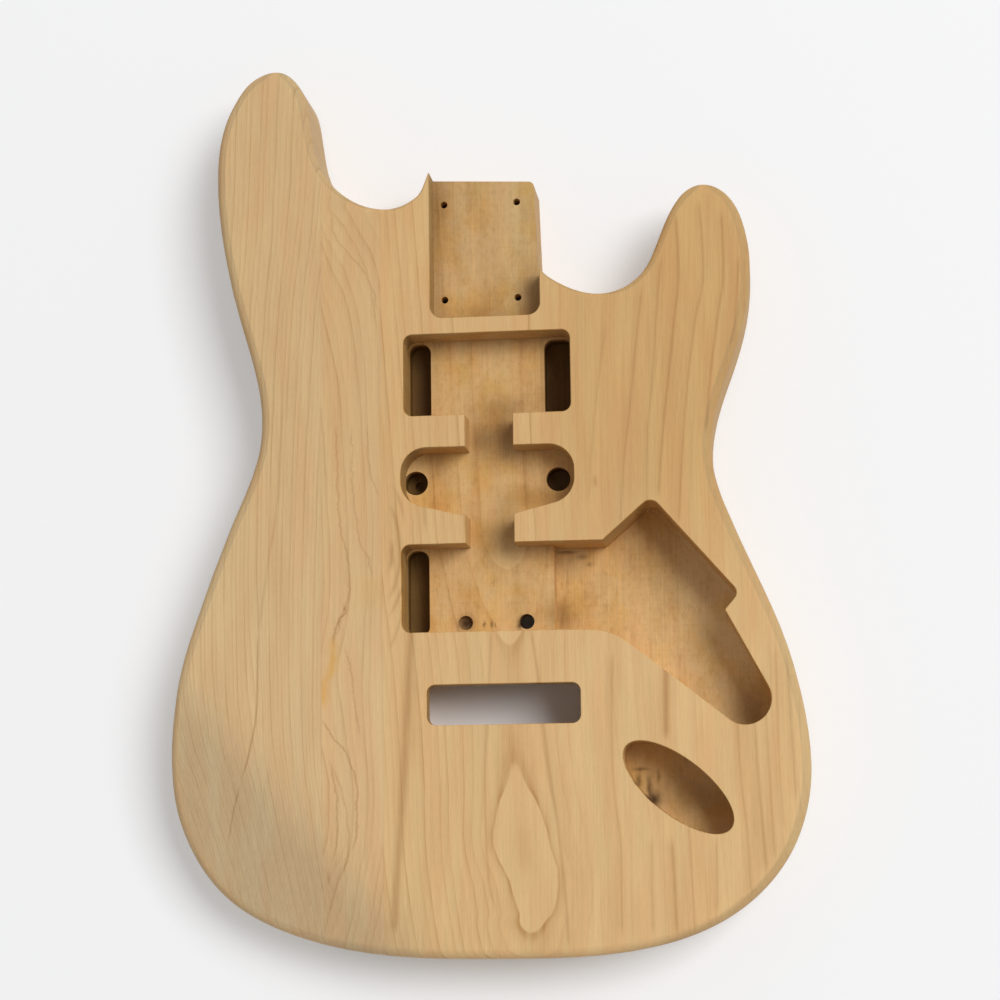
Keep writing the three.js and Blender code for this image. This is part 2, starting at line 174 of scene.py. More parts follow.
class BlankSizes(PropertyGroup):
    """The glued blank before it is routed."""

    body_length: FloatProperty(
        name="Length", description="From the long horn to the tail", default=CAD_HIGH.y - CAD_LOW.y,
        unit="LENGTH")
    body_width: FloatProperty(
        name="Width", description="Across the lower bout", default=CAD_HIGH.x - CAD_LOW.x, unit="LENGTH")
    thickness: FloatProperty(
        name="Thickness", description="From back to front", default=CAD_HIGH.z - CAD_LOW.z, unit="LENGTH")
    edge_radius: length("Edge radius", "Rounding of the front and back edges", 5.2)
    edge_steps: IntProperty(name="Edge steps", description="Facets across one rounding", default=7, min=2)
    outline_step: degrees("Outline step", "Turn between two outline points", 2.5)
    neck_axis_share: share("Neck axis", "Its place as a share of half the width", 0.02)
    pocket_end_share: share("Pocket end", "Its place as a share of half the length", 0.4065)
    forearm_start_x: share("Forearm start across", "Share of half the width", -0.376)
    forearm_start_y: share("Forearm start along", "Share of half the length", -0.718)
    forearm_heading: degrees("Forearm heading", "Direction in which the contour falls", 222)
    forearm_slope: degrees("Forearm slope", "Slope of the contour", 12)
    forearm_bend: length("Forearm bend", "Radius between the front and the contour", 180)
    forearm_cut: length("Forearm cut spacing", "Distance between the mesh lines of the bend", 2.5)
    belly_waist_x: share("Belly waist across", "Share of half the width", -0.704)
    belly_waist_y: share("Belly waist along", "Share of half the length", 0.21)
    belly_depth: length("Belly depth", "Depth of the belly contour at the waist", 15)
    belly_reach: length("Belly reach", "Reach of the contour from the waist", 78)
    belly_radius: length("Belly radius", "Radius of the contour along the body", 280)
    belly_blend: length("Belly blend", "Height over which the contour fades into the back", 1.2)
    belly_cut: length("Belly cut spacing", "Distance between the mesh lines of the contour", 5)


class RoutingSizes(PropertyGroup):
    """Cavities and holes. Places run along the neck axis, from the pocket's inner end."""

    rim: length("Rim", "Softening of a cavity's sharp rim", 0.3)
    overrun: length("Overrun", "How far a cutter runs past a face", 12)
    corner_step: degrees("Corner step", "Turn between two points of a rounded corner", 9)
    drill_steps: facets("Drill steps", "Facets round a small drilling", 24)
    wire_steps: facets("Wire steps", "Facets round the jack's wire hole", 32)
    oval_steps: facets("Oval steps", "Facets round a larger hole", 40)
    jack_steps: facets("Jack steps", "Facets round the jack route", 72)
    pocket_width: length("Pocket width", "Width of the neck pocket", 56.4)
    pocket_length: length("Pocket length", "Length of the neck pocket", 75.5)
    pocket_depth: length("Pocket depth", "Depth of the neck pocket", 15.9)
    pocket_corner: length("Pocket corner", "Radius of its inner corners", 6.3)
    heel_root_inset: length("Heel root inset", "How far the treble wall is thinned at its root", 2.2)
    heel_tip_inset: length("Heel tip inset", "How far the treble wall is thinned at its tip", 3.4)
    heel_root_length: length("Heel root length", "Length of the thinned treble wall", 44.3)
    heel_corner: length("Heel corner", "Radius of the heel's treble corner", 3)
    heel_skew: length("Heel skew", "How far the heel's end is out of square", 2.4)
    heel_flat: length("Heel flat", "Width of the bass wall's tip", 0.4)
    screw_span: length("Screw span", "Across the neck", 38.1)
    screw_pitch: length("Screw pitch", "Along the neck", 50.8)
    screw_inset: length("Screw inset", "First row, from the pocket's end", 12.9)
    screw_offset: length("Screw offset", "Middle of the rows, from the neck axis", -3.5)
    screw_hole: length("Screw hole", "Diameter", 3.7)
    pickup_depth: length("Pickup depth", "Depth of the pickup cavities", 20)
    leg_depth: length("Leg depth", "Depth of the leg slots and drillings", 33)
    pickup_corner: length("Pickup corner", "Corner radius of the pickup cavities", 4.5)
    leg_round: length("Leg slot round", "Radius of a leg slot's neck end", 5.2)
    leg_gap: length("Leg slot gap", "From a leg slot's neck end to the cavity's wall", 0.8)
    neck_pickup: length("Neck pickup", "Middle of its cavity", 29.45)
    neck_pickup_width: length("Neck pickup width", "Across the neck axis", 85.5)
    neck_pickup_length: length("Neck pickup length", "Along the neck axis", 42.3)
    neck_pickup_offset: length("Neck pickup offset", "Sideways place", 0.45)
    bass_leg: length("Bass leg slot", "Width", 11.6)
    treble_leg: length("Treble leg slot", "Width", 14.9)
    middle_pickup: length("Middle pickup", "Middle of its cavity", 84.5)
    middle_width: length("Middle width", "Across the neck axis", 88.4)
    middle_length: length("Middle length", "Along the neck axis", 35)
    middle_foot: length("Middle foot", "Width of the straight lower edge", 26.8)
    middle_shoulder: length("Middle shoulder", "Rise of the lower edge to its ends", 7.5)
    middle_end: length("Middle end", "Radius of the rounded ends", 13)
    middle_drill: length("Middle drilling", "Diameter of its leg drillings", 12.4)
    middle_bass_inset: length("Bass drilling inset", "From the cavity's bass end", 5.2)
    middle_treble_inset: length("Treble drilling inset", "From the cavity's treble end", 9.6)
    middle_drill_lift: length("Drilling lift", "Above the cavity's middle", 2.3)
    drill_tip: length("Drill tip", "Diameter of the drill tip's mark", 4.6)
    drill_tip_depth: length("Drill tip depth", "Depth of the drill tip's mark", 3)
    bridge_pickup: length("Bridge pickup", "Middle of its cavity", 138.8)
    bridge_width: length("Bridge width", "Across the neck axis", 88)
    bridge_length: length("Bridge length", "Along the neck axis", 44.6)
    channel_width: length("Channel width", "Wire channels between the pickups", 24.5)
    channel_offset: length("Channel offset", "Sideways place", 1.3)
    control_depth: length("Control depth", "Depth of the control cavity", 33)
    control_reach: length("Control reach", "Across the neck axis", 110)
    control_span: length("Control span", "Along the neck axis", 118)
    control_start: length("Control start", "Where it leaves the bridge pickup's cavity", 31.7)
    control_ledge: length("Control ledge", "Width of the ledge along its outer wall", 2.4)
    control_ledge_rise: length("Control ledge rise", "Height of the ledge above the floor", 3)
    jack_depth: length("Jack depth", "Depth of the jack route", 30)
    jack_length: length("Jack length", "Long axis of the oval", 65.2)
    jack_width: length("Jack width", "Short axis of the oval", 27.6)
    jack_turn: degrees("Jack turn", "Turn of the oval", -38.8)
    jack_place: length("Jack place", "Middle, along the neck axis", 240)
    jack_offset: length("Jack offset", "Middle, from the neck axis", 92.7)
    jack_wire: length("Jack wire hole", "Diameter", 8)
    jack_wire_offset: length("Jack wire offset", "From the neck axis", 98)
    ground_wire: length("Ground wire hole", "Diameter", 7.7)
    ground_wire_offset: length("Ground wire offset", "From the neck axis", 17.4)
    pilot: length("Pilot", "Diameter of the shallow pilot", 7.3)
    pilot_offset: length("Pilot offset", "From the neck axis", -13.9)
    pilot_depth: length("Pilot depth", "Below the cavity's floor", 4)
    wire_inset: length("Wire wall inset", "From the bridge cavity's lower wall", 6.2)
    slot_place: length("Slot place", "Middle of the bridge slot", 197.6)
    slot_width: length("Slot width", "Across the neck axis", 77.1)
    slot_length: length("Slot length", "Along the neck axis", 20.2)
    slot_offset: length("Slot offset", "Sideways place", 6.95)
    slot_corner: length("Slot corner", "Corner radius of slot and back pockets", 4.3)
    block_depth: length("Block pocket depth", "From the back", 34)
    block_margin: length("Block margin", "Wider than the slot on each side", 7)
    block_length: length("Block pocket length", "Along the neck axis", 32)
    block_shift: length("Block shift", "Towards the tail from the slot", 2)
    spring_depth: length("Spring depth", "Depth of the spring channel", 16)
    spring_width: length("Spring width", "Width of the spring channel", 57)
    spring_length: length("Spring length", "Length of the spring channel", 88)


class WoodLook(PropertyGroup):
    """Colours of the wood. Those of the boards, the dust and the glue show as they are, and the others
    multiply the early wood's colour. Rim, contour, walls, tail walls and deep slots are painted shade;
    the dust is partly painted light, and the smudges and charred spots are partly painted shade."""

    outer: colour("Outer bass board", "Its early wood", 0.85, 0.728, 0.54)
    inner: colour("Inner bass board", "Its early wood", 0.855, 0.72, 0.525)
    centre: colour("Centre board", "Its early wood", 0.862, 0.72, 0.51)
    treble: colour("Treble board", "Its early wood", 0.865, 0.72, 0.505)
    ripe: colour("Ripe wood", "Deeper colour near the neck", 0.945, 0.915, 0.855)
    late: colour("Late wood", "Dark part of a growth ring", 0.85, 0.785, 0.69)
    pitch: colour("Pitch", "Dark streaks", 0.74, 0.64, 0.52)
    amber: colour("Amber", "Yellow pitch beside the knot", 0.99, 0.94, 0.78)
    blush: colour("Blush", "Pinker clouds", 0.995, 0.965, 0.955)
    # Painted shade: darkens the roundings that face the treble side and the lamp.
    rim: colour("Rim", "Sanded roundings of the treble side", 0.89, 0.90, 0.90)
    # Painted shade: greys the forearm contour, whose slope looks away from the lamp.
    contour: colour("Contour", "Coarser sanding of the forearm contour", 0.935, 0.955, 0.985)
    routed: colour("Routed wood", "Golden patches in the cavities", 0.99, 0.94, 0.78)
    burnt: colour("Burnt wood", "Burnished flecks in the cavities", 0.82, 0.76, 0.64)
    # Painted shade: darkens the bass-side cavity walls that face the treble side and the lamp.
    walls: colour("Cavity walls", "Bass walls, burnt by the cutter", 0.80, 0.80, 0.76)
    pocket: colour("Pocket floor", "Neck pocket's floor", 0.95, 0.97, 1.0)
    # Painted shade: darkens the cavity walls that face the tail, away from the lamp.
    tail_facing_wall_shade: colour("Neck walls", "Cavity walls that face the tail", 0.93, 0.935, 0.93)
    # Partly pale dust and partly painted light: lifts the deep floors at the treble end of the control
    # cavity and the jack route, which lie in the shade of their walls.
    dust: colour("Dust", "Pale dust in the deep cavities", 0.93, 0.82, 0.635)
    # Painted shade: darkens the deep leg slots and drillings, where little light reaches.
    deep: colour("Deep slots", "Dark slots and drillings", 0.55, 0.50, 0.34)
    # Partly dust and partly painted shade: darkens patches beside the cavity walls and in their corners.
    smudge: colour("Smudge", "Dusty patches on the cavity floors", 0.74, 0.71, 0.66)
    # Partly burnt and torn spots and partly painted shade: the darkest sit on the ground wire hole by the
    # bridge cavity's lower wall.
    char: colour("Char", "Burnt and torn spots", 0.42, 0.34, 0.24)
    glue: colour("Glue", "Dried glue in the joints", 0.72, 0.58, 0.42)
    glue_pale: colour("Pale glue", "Thinner glue", 0.80, 0.66, 0.48)


class StageLook(PropertyGroup):
    """Floor, lamp and camera."""

    floor: colour("Floor", "Pale floor", 0.962, 0.963, 0.968)
    floor_size: length("Floor size", "Side of the floor", 12000)
    camera_x: length("Camera across", "Place of the camera", 139.237)
    camera_y: length("Camera along", "Place of the camera", -173.959)
    camera_z: length("Camera height", "Place of the camera", 1210.585)
    lens: FloatProperty(name="Lens", description="Focal length in millimetres", default=84.69)
    shift: FloatProperty(name="Shift", description="Sideways shift of the picture", default=0.01397)
    sensor: FloatProperty(name="Sensor", description="Width of the sensor in millimetres", default=36)
    near_clip: length("Near clip", "Least distance that the camera sees", 10)
    key_power: FloatProperty(
        name="Key lamp", description="Power of the large lamp", default=618, unit="POWER")
    key_size: length("Key lamp size", "Side of the large lamp", 4600)
    key_distance: length("Key lamp distance", "From the body", 9000)
    key_turn: degrees("Key lamp turn", "Direction it comes from, from the treble side to the neck", 26)
    key_height: degrees("Key lamp height", "Angle above the floor", 54)
    sky: FloatProperty(name="Sky", description="Strength of the even light all round", default=0.36)
    lift: share("Lift", "Share of plain white in the floor away from the bridge", 0.28)
    lift_middle: share("Lift middle", "Its middle along the body, as a share of the body's length", -0.25)
    lift_start: length("Lift start", "Distance from that middle where it begins", 60)
    lift_end: length("Lift end", "Distance from that middle where it is full", 170)


# Rows of the camera's turn: its right, its up and its backward direction.
CAMERA_RIGHT = (0.992944, -0.011972, -0.117982)
CAMERA_UP = (0.028901, 0.989323, 0.142842)
CAMERA_BACK = (0.115012, -0.145244, 0.982688)

WHITE = (1.0, 1.0, 1.0, 1.0)

# Finished pieces are shaded smooth across edges flatter than this.
SMOOTH_ANGLE = math.radians(31)
# How much more the larger faces count in their normals.
AREA_WEIGHT = 100

# Faces above and below these shares of the thickness belong to the front and to the back.
FRONT_SHARE = 0.6
BACK_SHARE = 0.4


def blank_sizes():
    return bpy.context.scene.guitar_blank


def routing_sizes():
    return bpy.context.scene.guitar_routing


def neck_origin():
    """The neck axis where it meets the pocket's inner end."""
    blank = blank_sizes()
    return Vector((
        blank.neck_axis_share * blank.body_width / 2,
        blank.pocket_end_share * blank.body_length / 2,
    ))


def make_active(obj):
    bpy.ops.object.select_all(action="DESELECT")
    obj.select_set(True)
    bpy.context.view_layer.objects.active = obj


def apply_modifier(obj, kind, **settings):
    make_active(obj)
    modifier = obj.modifiers.new("Step", kind)
    for name, value in settings.items():
        setattr(modifier, name, value)
    bpy.ops.object.modifier_apply(modifier=modifier.name)


# Outline
def placed(table, base, reach):
    """Stations of a table of shares: (place, heading, round share)."""
    return [
        (base + Vector((x * reach.x, y * reach.y)), math.radians(heading), around)
        for x, y, heading, around in table
    ]


def heel_stations():
    """From the heel's root on the treble side round the neck end to the bass cutaway's tip."""
    cut = routing_sizes()
    origin = neck_origin()
    wall = origin.x + cut.pocket_width / 2
    end = origin.y + cut.pocket_length
    root_x = wall - cut.heel_root_inset
    tip_x = wall - cut.heel_tip_inset
    treble_end = end - cut.heel_skew / 2
    bass_end = end + cut.heel_skew / 2
    bass_x = origin.x - cut.pocket_width / 2 - cut.heel_flat
    side, across, down = (math.radians(angle) for angle in HEEL_HEADINGS)
    return [
        (Vector((root_x, end - cut.heel_root_length)), side, HEEL_ROUND_SHARE),
        (Vector((tip_x, treble_end - cut.heel_corner)), side, HEEL_ROUND_SHARE),
        (Vector((tip_x - cut.heel_corner, treble_end)), across, HEEL_ROUND_SHARE),
        (Vector((bass_x, bass_end)), across, HEEL_ROUND_SHARE),
        (Vector((bass_x, bass_end)), down, HEEL_ROUND_SHARE),
    ]


def cutaway_stations(side, table, horn_share):
    blank, cut, origin = blank_sizes(), routing_sizes(), neck_origin()
    wall = origin.x + side * cut.pocket_width / 2
    gap = horn_share * blank.body_width / 2 - wall
    return placed(table, Vector((wall, origin.y)), Vector((gap, cut.pocket_length)))


def body_stations():
    blank = blank_sizes()
    half = Vector((blank.body_width / 2, blank.body_length / 2))
    return [
        *heel_stations(),
        *cutaway_stations(BASS, BASS_CUTAWAY_SHARES, OUTLINE_SHARES[0][0]),
        *placed(OUTLINE_SHARES, Vector((0, 0)), half),
        *cutaway_stations(TREBLE, TREBLE_CUTAWAY_SHARES, OUTLINE_SHARES[-1][0]),
    ]


def outline_points():
    """(place, inward direction, edge radius) round the body: cubic curves between the stations."""
    blank = blank_sizes()
    stations = body_stations()
    points = []
    for i, (start, heading, around) in enumerate(stations):
        end, next_heading, next_around = stations[(i + 1) % len(stations)]
        chord = (end - start).length
        if chord == 0:
            continue
        turn = (next_heading - heading + math.pi) % math.tau - math.pi
        handle = chord / (3 * math.cos(turn / 4) ** 2)
        leaving = start + handle * Vector((math.cos(heading), math.sin(heading)))
        arriving = end - handle * Vector((math.cos(next_heading), math.sin(next_heading)))
        steps = max(1, math.ceil(abs(turn) / blank.outline_step))
        for k in range(steps):
            t = k / steps
            s = 1 - t
            place = s**3 * start + 3 * s * s * t * leaving + 3 * s * t * t * arriving + t**3 * end
            along = s * s * (leaving - start) + 2 * s * t * (arriving - leaving)
            along += t * t * (end - arriving)
            inward = Vector((-along.y, along.x)).normalized()
            points.append((place, inward, (around + (next_around - around) * t) * blank.edge_radius))
    return points


# Blank
def extrude_to(obj, ring):
    """Extrudes the selected face and puts each new corner on its point of the next ring."""
    bpy.ops.mesh.extrude_region_move()
    mesh = bmesh.from_edit_mesh(obj.data)
    numbers = mesh.verts.layers.int["corner"]
    for vertex in mesh.verts:
        if vertex.select:
            vertex.co = ring[vertex[numbers]]
    bmesh.update_edit_mesh(obj.data)


def extruded(name, rings):
    """A solid through rings of points, from a circle with as many corners, each with its own number."""
    bpy.ops.object.select_all(action="DESELECT")
    bpy.ops.mesh.primitive_circle_add(vertices=len(rings[0]), fill_type="NGON")
    obj = bpy.context.active_object
    obj.name = name
    numbers = obj.data.attributes.new("corner", "INT", "POINT")
    for i, (vertex, point) in enumerate(zip(obj.data.vertices, rings[0])):
        vertex.co = point
        numbers.data[i].value = i
    make_active(obj)
    bpy.ops.object.mode_set(mode="EDIT")
    bpy.ops.mesh.select_all(action="SELECT")
    for ring in rings[1:]:
        extrude_to(obj, ring)
    bpy.ops.mesh.select_all(action="SELECT")
    bpy.ops.mesh.normals_make_consistent(inside=False)
    bpy.ops.object.mode_set(mode="OBJECT")
    obj.data.attributes.remove(obj.data.attributes["corner"])
    return obj


def rounded_blank():
    """The outline extruded ring by ring, with both edges rounded."""
    blank = blank_sizes()
    outline = outline_points()
    quarter = [math.pi / 2 * k / blank.edge_steps for k in range(blank.edge_steps + 1)]

    def ring(turn, height):
        inset = 1 - math.cos(turn)
        places = [place + inward * radius * inset for place, inward, radius in outline]
        return [Vector((p.x, p.y, height(entry[2]))) for p, entry in zip(places, outline)]

    lower = [
        ring(turn, lambda radius, t=turn: radius * (1 - math.sin(t)))
        for turn in reversed(quarter)
    ]
    upper = [
        ring(turn, lambda radius, t=turn: blank.thickness - radius * (1 - math.sin(t)))
        for turn in quarter
    ]
    return extruded("routed_body", lower + upper)


def forearm_direction():
    heading = blank_sizes().forearm_heading
    return Vector((math.cos(heading), math.sin(heading)))


def forearm_start():
    blank = blank_sizes()
    return Vector((
        blank.forearm_start_x * blank.body_width / 2,
        blank.forearm_start_y * blank.body_length / 2,
    ))


def forearm_drop(x, y):
    """How far the forearm contour lies below the front."""
    blank = blank_sizes()
    distance = (Vector((x, y)) - forearm_start()).dot(forearm_direction())
    if distance <= 0:
        return 0
    bend = blank.forearm_bend * math.sin(blank.forearm_slope)
    if distance < bend:
        return blank.forearm_bend - math.sqrt(blank.forearm_bend**2 - distance**2)
    past = (distance - bend) * math.tan(blank.forearm_slope)
    return blank.forearm_bend * (1 - math.cos(blank.forearm_slope)) + past


def belly_rise(x, y):
    """How far the belly contour lies above the back: a leaning cylinder with a soft border."""
    blank = blank_sizes()
    lean = math.atan2(blank.belly_depth, blank.belly_reach)
    across = x - blank.belly_waist_x * blank.body_width / 2
    along = y - blank.belly_waist_y * blank.body_length / 2
    if abs(along) > blank.belly_radius / 2:
        return 0
    arch = blank.belly_radius - math.sqrt(blank.belly_radius**2 - along**2)
    height = blank.belly_depth - arch / math.cos(lean) - across * math.tan(lean)
    blend = blank.belly_blend
    if height <= -blend:
        return 0
    if height >= blend:
        return height
    return (height + blend) ** 2 / (4 * blend)


def cut_along(obj, place, normal, chosen):
    """Adds a mesh line where a plane crosses the chosen faces."""
    mesh = bmesh.from_edit_mesh(obj.data)
    mesh.select_mode = {"FACE"}
    for face in mesh.faces:
        face.select_set(chosen(face.calc_center_bounds()))
    mesh.select_flush_mode()
    bmesh.update_edit_mesh(obj.data)
    bpy.ops.mesh.bisect(plane_co=place, plane_no=normal)


def add_contours(obj):
    """Mesh lines where the two contours bend, and then the bends themselves."""
    blank = blank_sizes()
    make_active(obj)
    bpy.ops.object.mode_set(mode="EDIT")
    front = FRONT_SHARE * blank.thickness
    back = BACK_SHARE * blank.thickness
    heading = forearm_direction()
    bend = blank.forearm_bend * math.sin(blank.forearm_slope)
    lines = math.ceil(bend / blank.forearm_cut)
    for k in range(lines + 1):
        place = forearm_start() + heading * bend * k / lines
        cut_along(obj, place.to_3d(), heading.to_3d(), lambda centre: centre.z > front)
    waist_x = blank.belly_waist_x * blank.body_width / 2
    waist_y = blank.belly_waist_y * blank.body_length / 2
    blend_reach = blank.belly_reach * blank.belly_blend / blank.belly_depth
    inner = waist_x + blank.belly_reach + 2 * blend_reach
    spread = math.sqrt(2 * blank.belly_radius * (blank.belly_depth + blank.belly_blend))
    count = math.ceil(spread / blank.belly_cut)
    cut_along(obj, (inner, 0, 0), (1, 0, 0), lambda centre: centre.z < back)
    for k in range(-count, count + 1):
        y = waist_y + k * blank.belly_cut
        cut_along(obj, (0, y, 0), (0, 1, 0), lambda centre: centre.z < back and centre.x < inner)
    low_y, high_y = waist_y - count * blank.belly_cut, waist_y + count * blank.belly_cut
    x = inner - blank.belly_cut
    while x > -blank.body_width / 2:
        cut_along(
            obj, (x, 0, 0), (1, 0, 0),
            lambda centre: centre.z < back and centre.x < inner and low_y < centre.y < high_y)
        x -= blank.belly_cut
    bpy.ops.object.mode_set(mode="OBJECT")
    for vertex in obj.data.vertices:
        x, y, z = vertex.co
        vertex.co.z += -forearm_drop(x, y) if z > blank.thickness / 2 else belly_rise(x, y)


# Cutters
def rounded_corners(corners):
    """Points round a closed shape through corners, each (x, y, radius)."""
    step = routing_sizes().corner_step
    points = []
    for i, (x, y, radius) in enumerate(corners):
        here = Vector((x, y))
        if radius == 0:
            points.append(here)
            continue
        before = (Vector(corners[i - 1][:2]) - here).normalized()
        after = (Vector(corners[(i + 1) % len(corners)][:2]) - here).normalized()
        half = before.angle(after) / 2
        centre = here + (before + after).normalized() * radius / math.sin(half)
        start = here + before * radius / math.tan(half) - centre
        turn = math.pi - 2 * half
        if before.x * after.y - before.y * after.x > 0:
            turn = -turn
        steps = max(2, math.ceil(abs(turn) / step))
        for k in range(steps + 1):
            points.append(centre + Matrix.Rotation(turn * k / steps, 2) @ start)
    return points


def box_corners(left, right, foot, top, *radii):
    """Points round a box with a radius for each corner, from the lower bass corner round."""
    corners = ((left, foot), (right, foot), (right, top), (left, top))
    return rounded_corners([(*corner, radius) for corner, radius in zip(corners, radii)])


def rectangle(x, y, width, height, radius):
    left, right = x - width / 2, x + width / 2
    foot, top = y - height / 2, y + height / 2
    return box_corners(left, right, foot, top, radius, radius, radius, radius)


def oval(x, y, long_axis, short_axis, turn, steps):
    """Points round an oval."""
    angles = [math.tau * k / steps for k in range(steps)]
    flat = [Vector((long_axis / 2 * math.cos(a), short_axis / 2 * math.sin(a))) for a in angles]
    return [Vector((x, y)) + Matrix.Rotation(turn, 2) @ point for point in flat]


def drilling(x, y, diameter, steps):
    return oval(x, y, diameter, diameter, 0.0, steps)


def add_cutter(points, bottom, top, finish, flare_at=None):
    """An upright cutter. With flare_at it widens by the rim's softening at that height."""
    cut = routing_sizes()
    origin = neck_origin()
    places = [point + origin for point in points]
    outward = []
    for i, place in enumerate(places):
        along = places[(i + 1) % len(places)] - places[i - 1]
        outward.append(Vector((along.y, -along.x)).normalized())
    levels = [(bottom, 0), (top, 0)]
    if flare_at is not None:
        levels = [(bottom, 0), (flare_at - cut.rim, 0), (flare_at, cut.rim), (top, cut.rim)]
    rings = [
        [(place + out * widening).to_3d() + Vector((0, 0, height)) for place, out in zip(places, outward)]
        for height, widening in levels
    ]
    obj = extruded("cutter", rings)
    obj.data.materials.append(finish)
    return obj


def front_cutter(points, depth, finish):
    blank, cut = blank_sizes(), routing_sizes()
    top = blank.thickness + cut.overrun
    return add_cutter(points, blank.thickness - depth, top, finish, flare_at=blank.thickness)


def neck_cutters(finish):
    blank, cut = blank_sizes(), routing_sizes()
    half = cut.pocket_width / 2
    mouth = cut.pocket_length + cut.overrun
    pocket = box_corners(-half, half, 0, mouth, cut.pocket_corner, cut.pocket_corner, 0, 0)
    cutters = [front_cutter(pocket, cut.pocket_depth, finish)]
    for row in (0, 1):
        for side in (BASS, TREBLE):
            x = cut.screw_offset + side * cut.screw_span / 2
            y = cut.screw_inset + row * cut.screw_pitch
            hole = drilling(x, y, cut.screw_hole, cut.drill_steps)
            cutters.append(add_cutter(hole, -cut.overrun, blank.thickness + cut.overrun, finish))
    return cutters


def leg_slot(side, x, y, width, height, slot_width, finish):
    """A leg slot with a round neck end at the bass or treble end of a pickup cavity."""
    blank, cut = blank_sizes(), routing_sizes()
    outer = x + side * width / 2
    inner = outer - side * slot_width
    left, right = min(outer, inner), max(outer, inner)
    foot, top = y - height / 2, y + height / 2 - cut.leg_gap
    corners = box_corners(
        left, right, foot, top, cut.pickup_corner, cut.pickup_corner, cut.leg_round, cut.leg_round)
    floor = blank.thickness - cut.leg_depth
    return add_cutter(corners, floor, blank.thickness - cut.pickup_depth + cut.rim, finish)


def pickup_cutters(finish):
    blank, cut = blank_sizes(), routing_sizes()
    x, y = cut.neck_pickup_offset, -cut.neck_pickup
    width, height = cut.neck_pickup_width, cut.neck_pickup_length
    cutters = [
        front_cutter(rectangle(x, y, width, height, cut.pickup_corner), cut.pickup_depth, finish),
        leg_slot(BASS, x, y, width, height, cut.bass_leg, finish),
        leg_slot(TREBLE, x, y, width, height, cut.treble_leg, finish),
    ]
    half = cut.middle_width / 2
    top = cut.middle_length / 2 - cut.middle_pickup
    foot = -cut.middle_length / 2 - cut.middle_pickup
    shoulder = foot + cut.middle_shoulder
    middle = rounded_corners([
        (-cut.middle_foot / 2, foot, 0), (cut.middle_foot / 2, foot, 0),
        (half, shoulder, cut.middle_end), (half, top, cut.middle_end),
        (-half, top, cut.middle_end), (-half, shoulder, cut.middle_end)])
    cutters.append(front_cutter(middle, cut.pickup_depth, finish))
    drill_y = cut.middle_drill_lift - cut.middle_pickup
    floor = blank.thickness - cut.leg_depth
    for drill_x in (cut.middle_bass_inset - half, half - cut.middle_treble_inset):
        hole = drilling(drill_x, drill_y, cut.middle_drill, cut.oval_steps)
        cutters.append(add_cutter(hole, floor, blank.thickness - cut.pickup_depth + cut.rim, finish))
    tip = drilling(cut.middle_bass_inset - half, drill_y, cut.drill_tip, cut.drill_steps)
    cutters.append(add_cutter(tip, floor - cut.drill_tip_depth, floor + cut.rim, finish))
    y = -cut.bridge_pickup
    half = cut.bridge_length / 2
    end = cut.control_start + cut.pickup_corner
    bridge = box_corners(
        -cut.bridge_width / 2, end, y - half, y + half, cut.pickup_corner, 0, 0, cut.pickup_corner)
    cutters.append(front_cutter(bridge, cut.pickup_depth, finish))
    cutters.append(leg_slot(BASS, 0, y, cut.bridge_width, cut.bridge_length, cut.bass_leg, finish))
    channel_length = cut.bridge_pickup - cut.neck_pickup
    channel_y = -(cut.bridge_pickup + cut.neck_pickup) / 2
    channel = rectangle(cut.channel_offset, channel_y, cut.channel_width, channel_length, 0)
    cutters.append(front_cutter(channel, cut.pickup_depth, finish))
    return cutters


def control_cutters(finish):
    """Control cavity, jack route and the drillings for the wires."""
    blank, cut = blank_sizes(), routing_sizes()
    half = cut.bridge_length / 2
    reach, span = cut.control_reach, cut.control_span
    corners = [
        (cut.control_start + x * reach, y * span - cut.bridge_pickup, r * reach)
        for x, y, r in CONTROL_SHARES
    ]
    wall_foot, wall_top = corners[LEDGE_FOOT], corners[LEDGE_TOP]
    inward = Vector((wall_foot[1] - wall_top[1], wall_top[0] - wall_foot[0])).normalized()
    inward *= cut.control_ledge
    deep = list(corners)
    for i in (LEDGE_FOOT, LEDGE_TOP):
        x, y, radius = corners[i]
        deep[i] = (x + inward.x, y + inward.y, radius)
    base = [(cut.control_start, side * half - cut.bridge_pickup, 0) for side in (1, -1)]
    ledge_depth = cut.control_depth - cut.control_ledge_rise
    jack = oval(
        cut.jack_offset, -cut.jack_place, cut.jack_length, cut.jack_width, cut.jack_turn, cut.jack_steps)
    wall = -cut.bridge_pickup - half + cut.wire_inset
    floor = blank.thickness - cut.pickup_depth
    ground = drilling(cut.ground_wire_offset, wall, cut.ground_wire, cut.oval_steps)
    pilot = drilling(cut.pilot_offset, wall, cut.pilot, cut.oval_steps)
    start = -cut.jack_place
    end = -cut.bridge_pickup - span / 2 + cut.jack_wire
    origin = neck_origin()
    bpy.ops.object.select_all(action="DESELECT")
    bpy.ops.mesh.primitive_cylinder_add(
        vertices=cut.wire_steps, radius=cut.jack_wire / 2, depth=end - start,
        rotation=(math.pi / 2, 0, 0),
        location=(
            cut.jack_wire_offset + origin.x, (start + end) / 2 + origin.y,
            blank.thickness - cut.jack_depth + cut.jack_wire))
    wire = bpy.context.active_object
    bpy.ops.object.transform_apply(location=True, rotation=True, scale=True)
    wire.data.materials.append(finish)
    return [
        front_cutter(rounded_corners(base + corners), ledge_depth, finish),
        add_cutter(
            rounded_corners(base + deep), blank.thickness - cut.control_depth,
            blank.thickness - ledge_depth + cut.rim, finish),
        front_cutter(jack, cut.jack_depth, finish),
        wire,
        add_cutter(ground, cut.spring_depth / 2, floor + cut.rim, finish),
        add_cutter(pilot, floor - cut.pilot_depth, floor + cut.rim, finish),
    ]


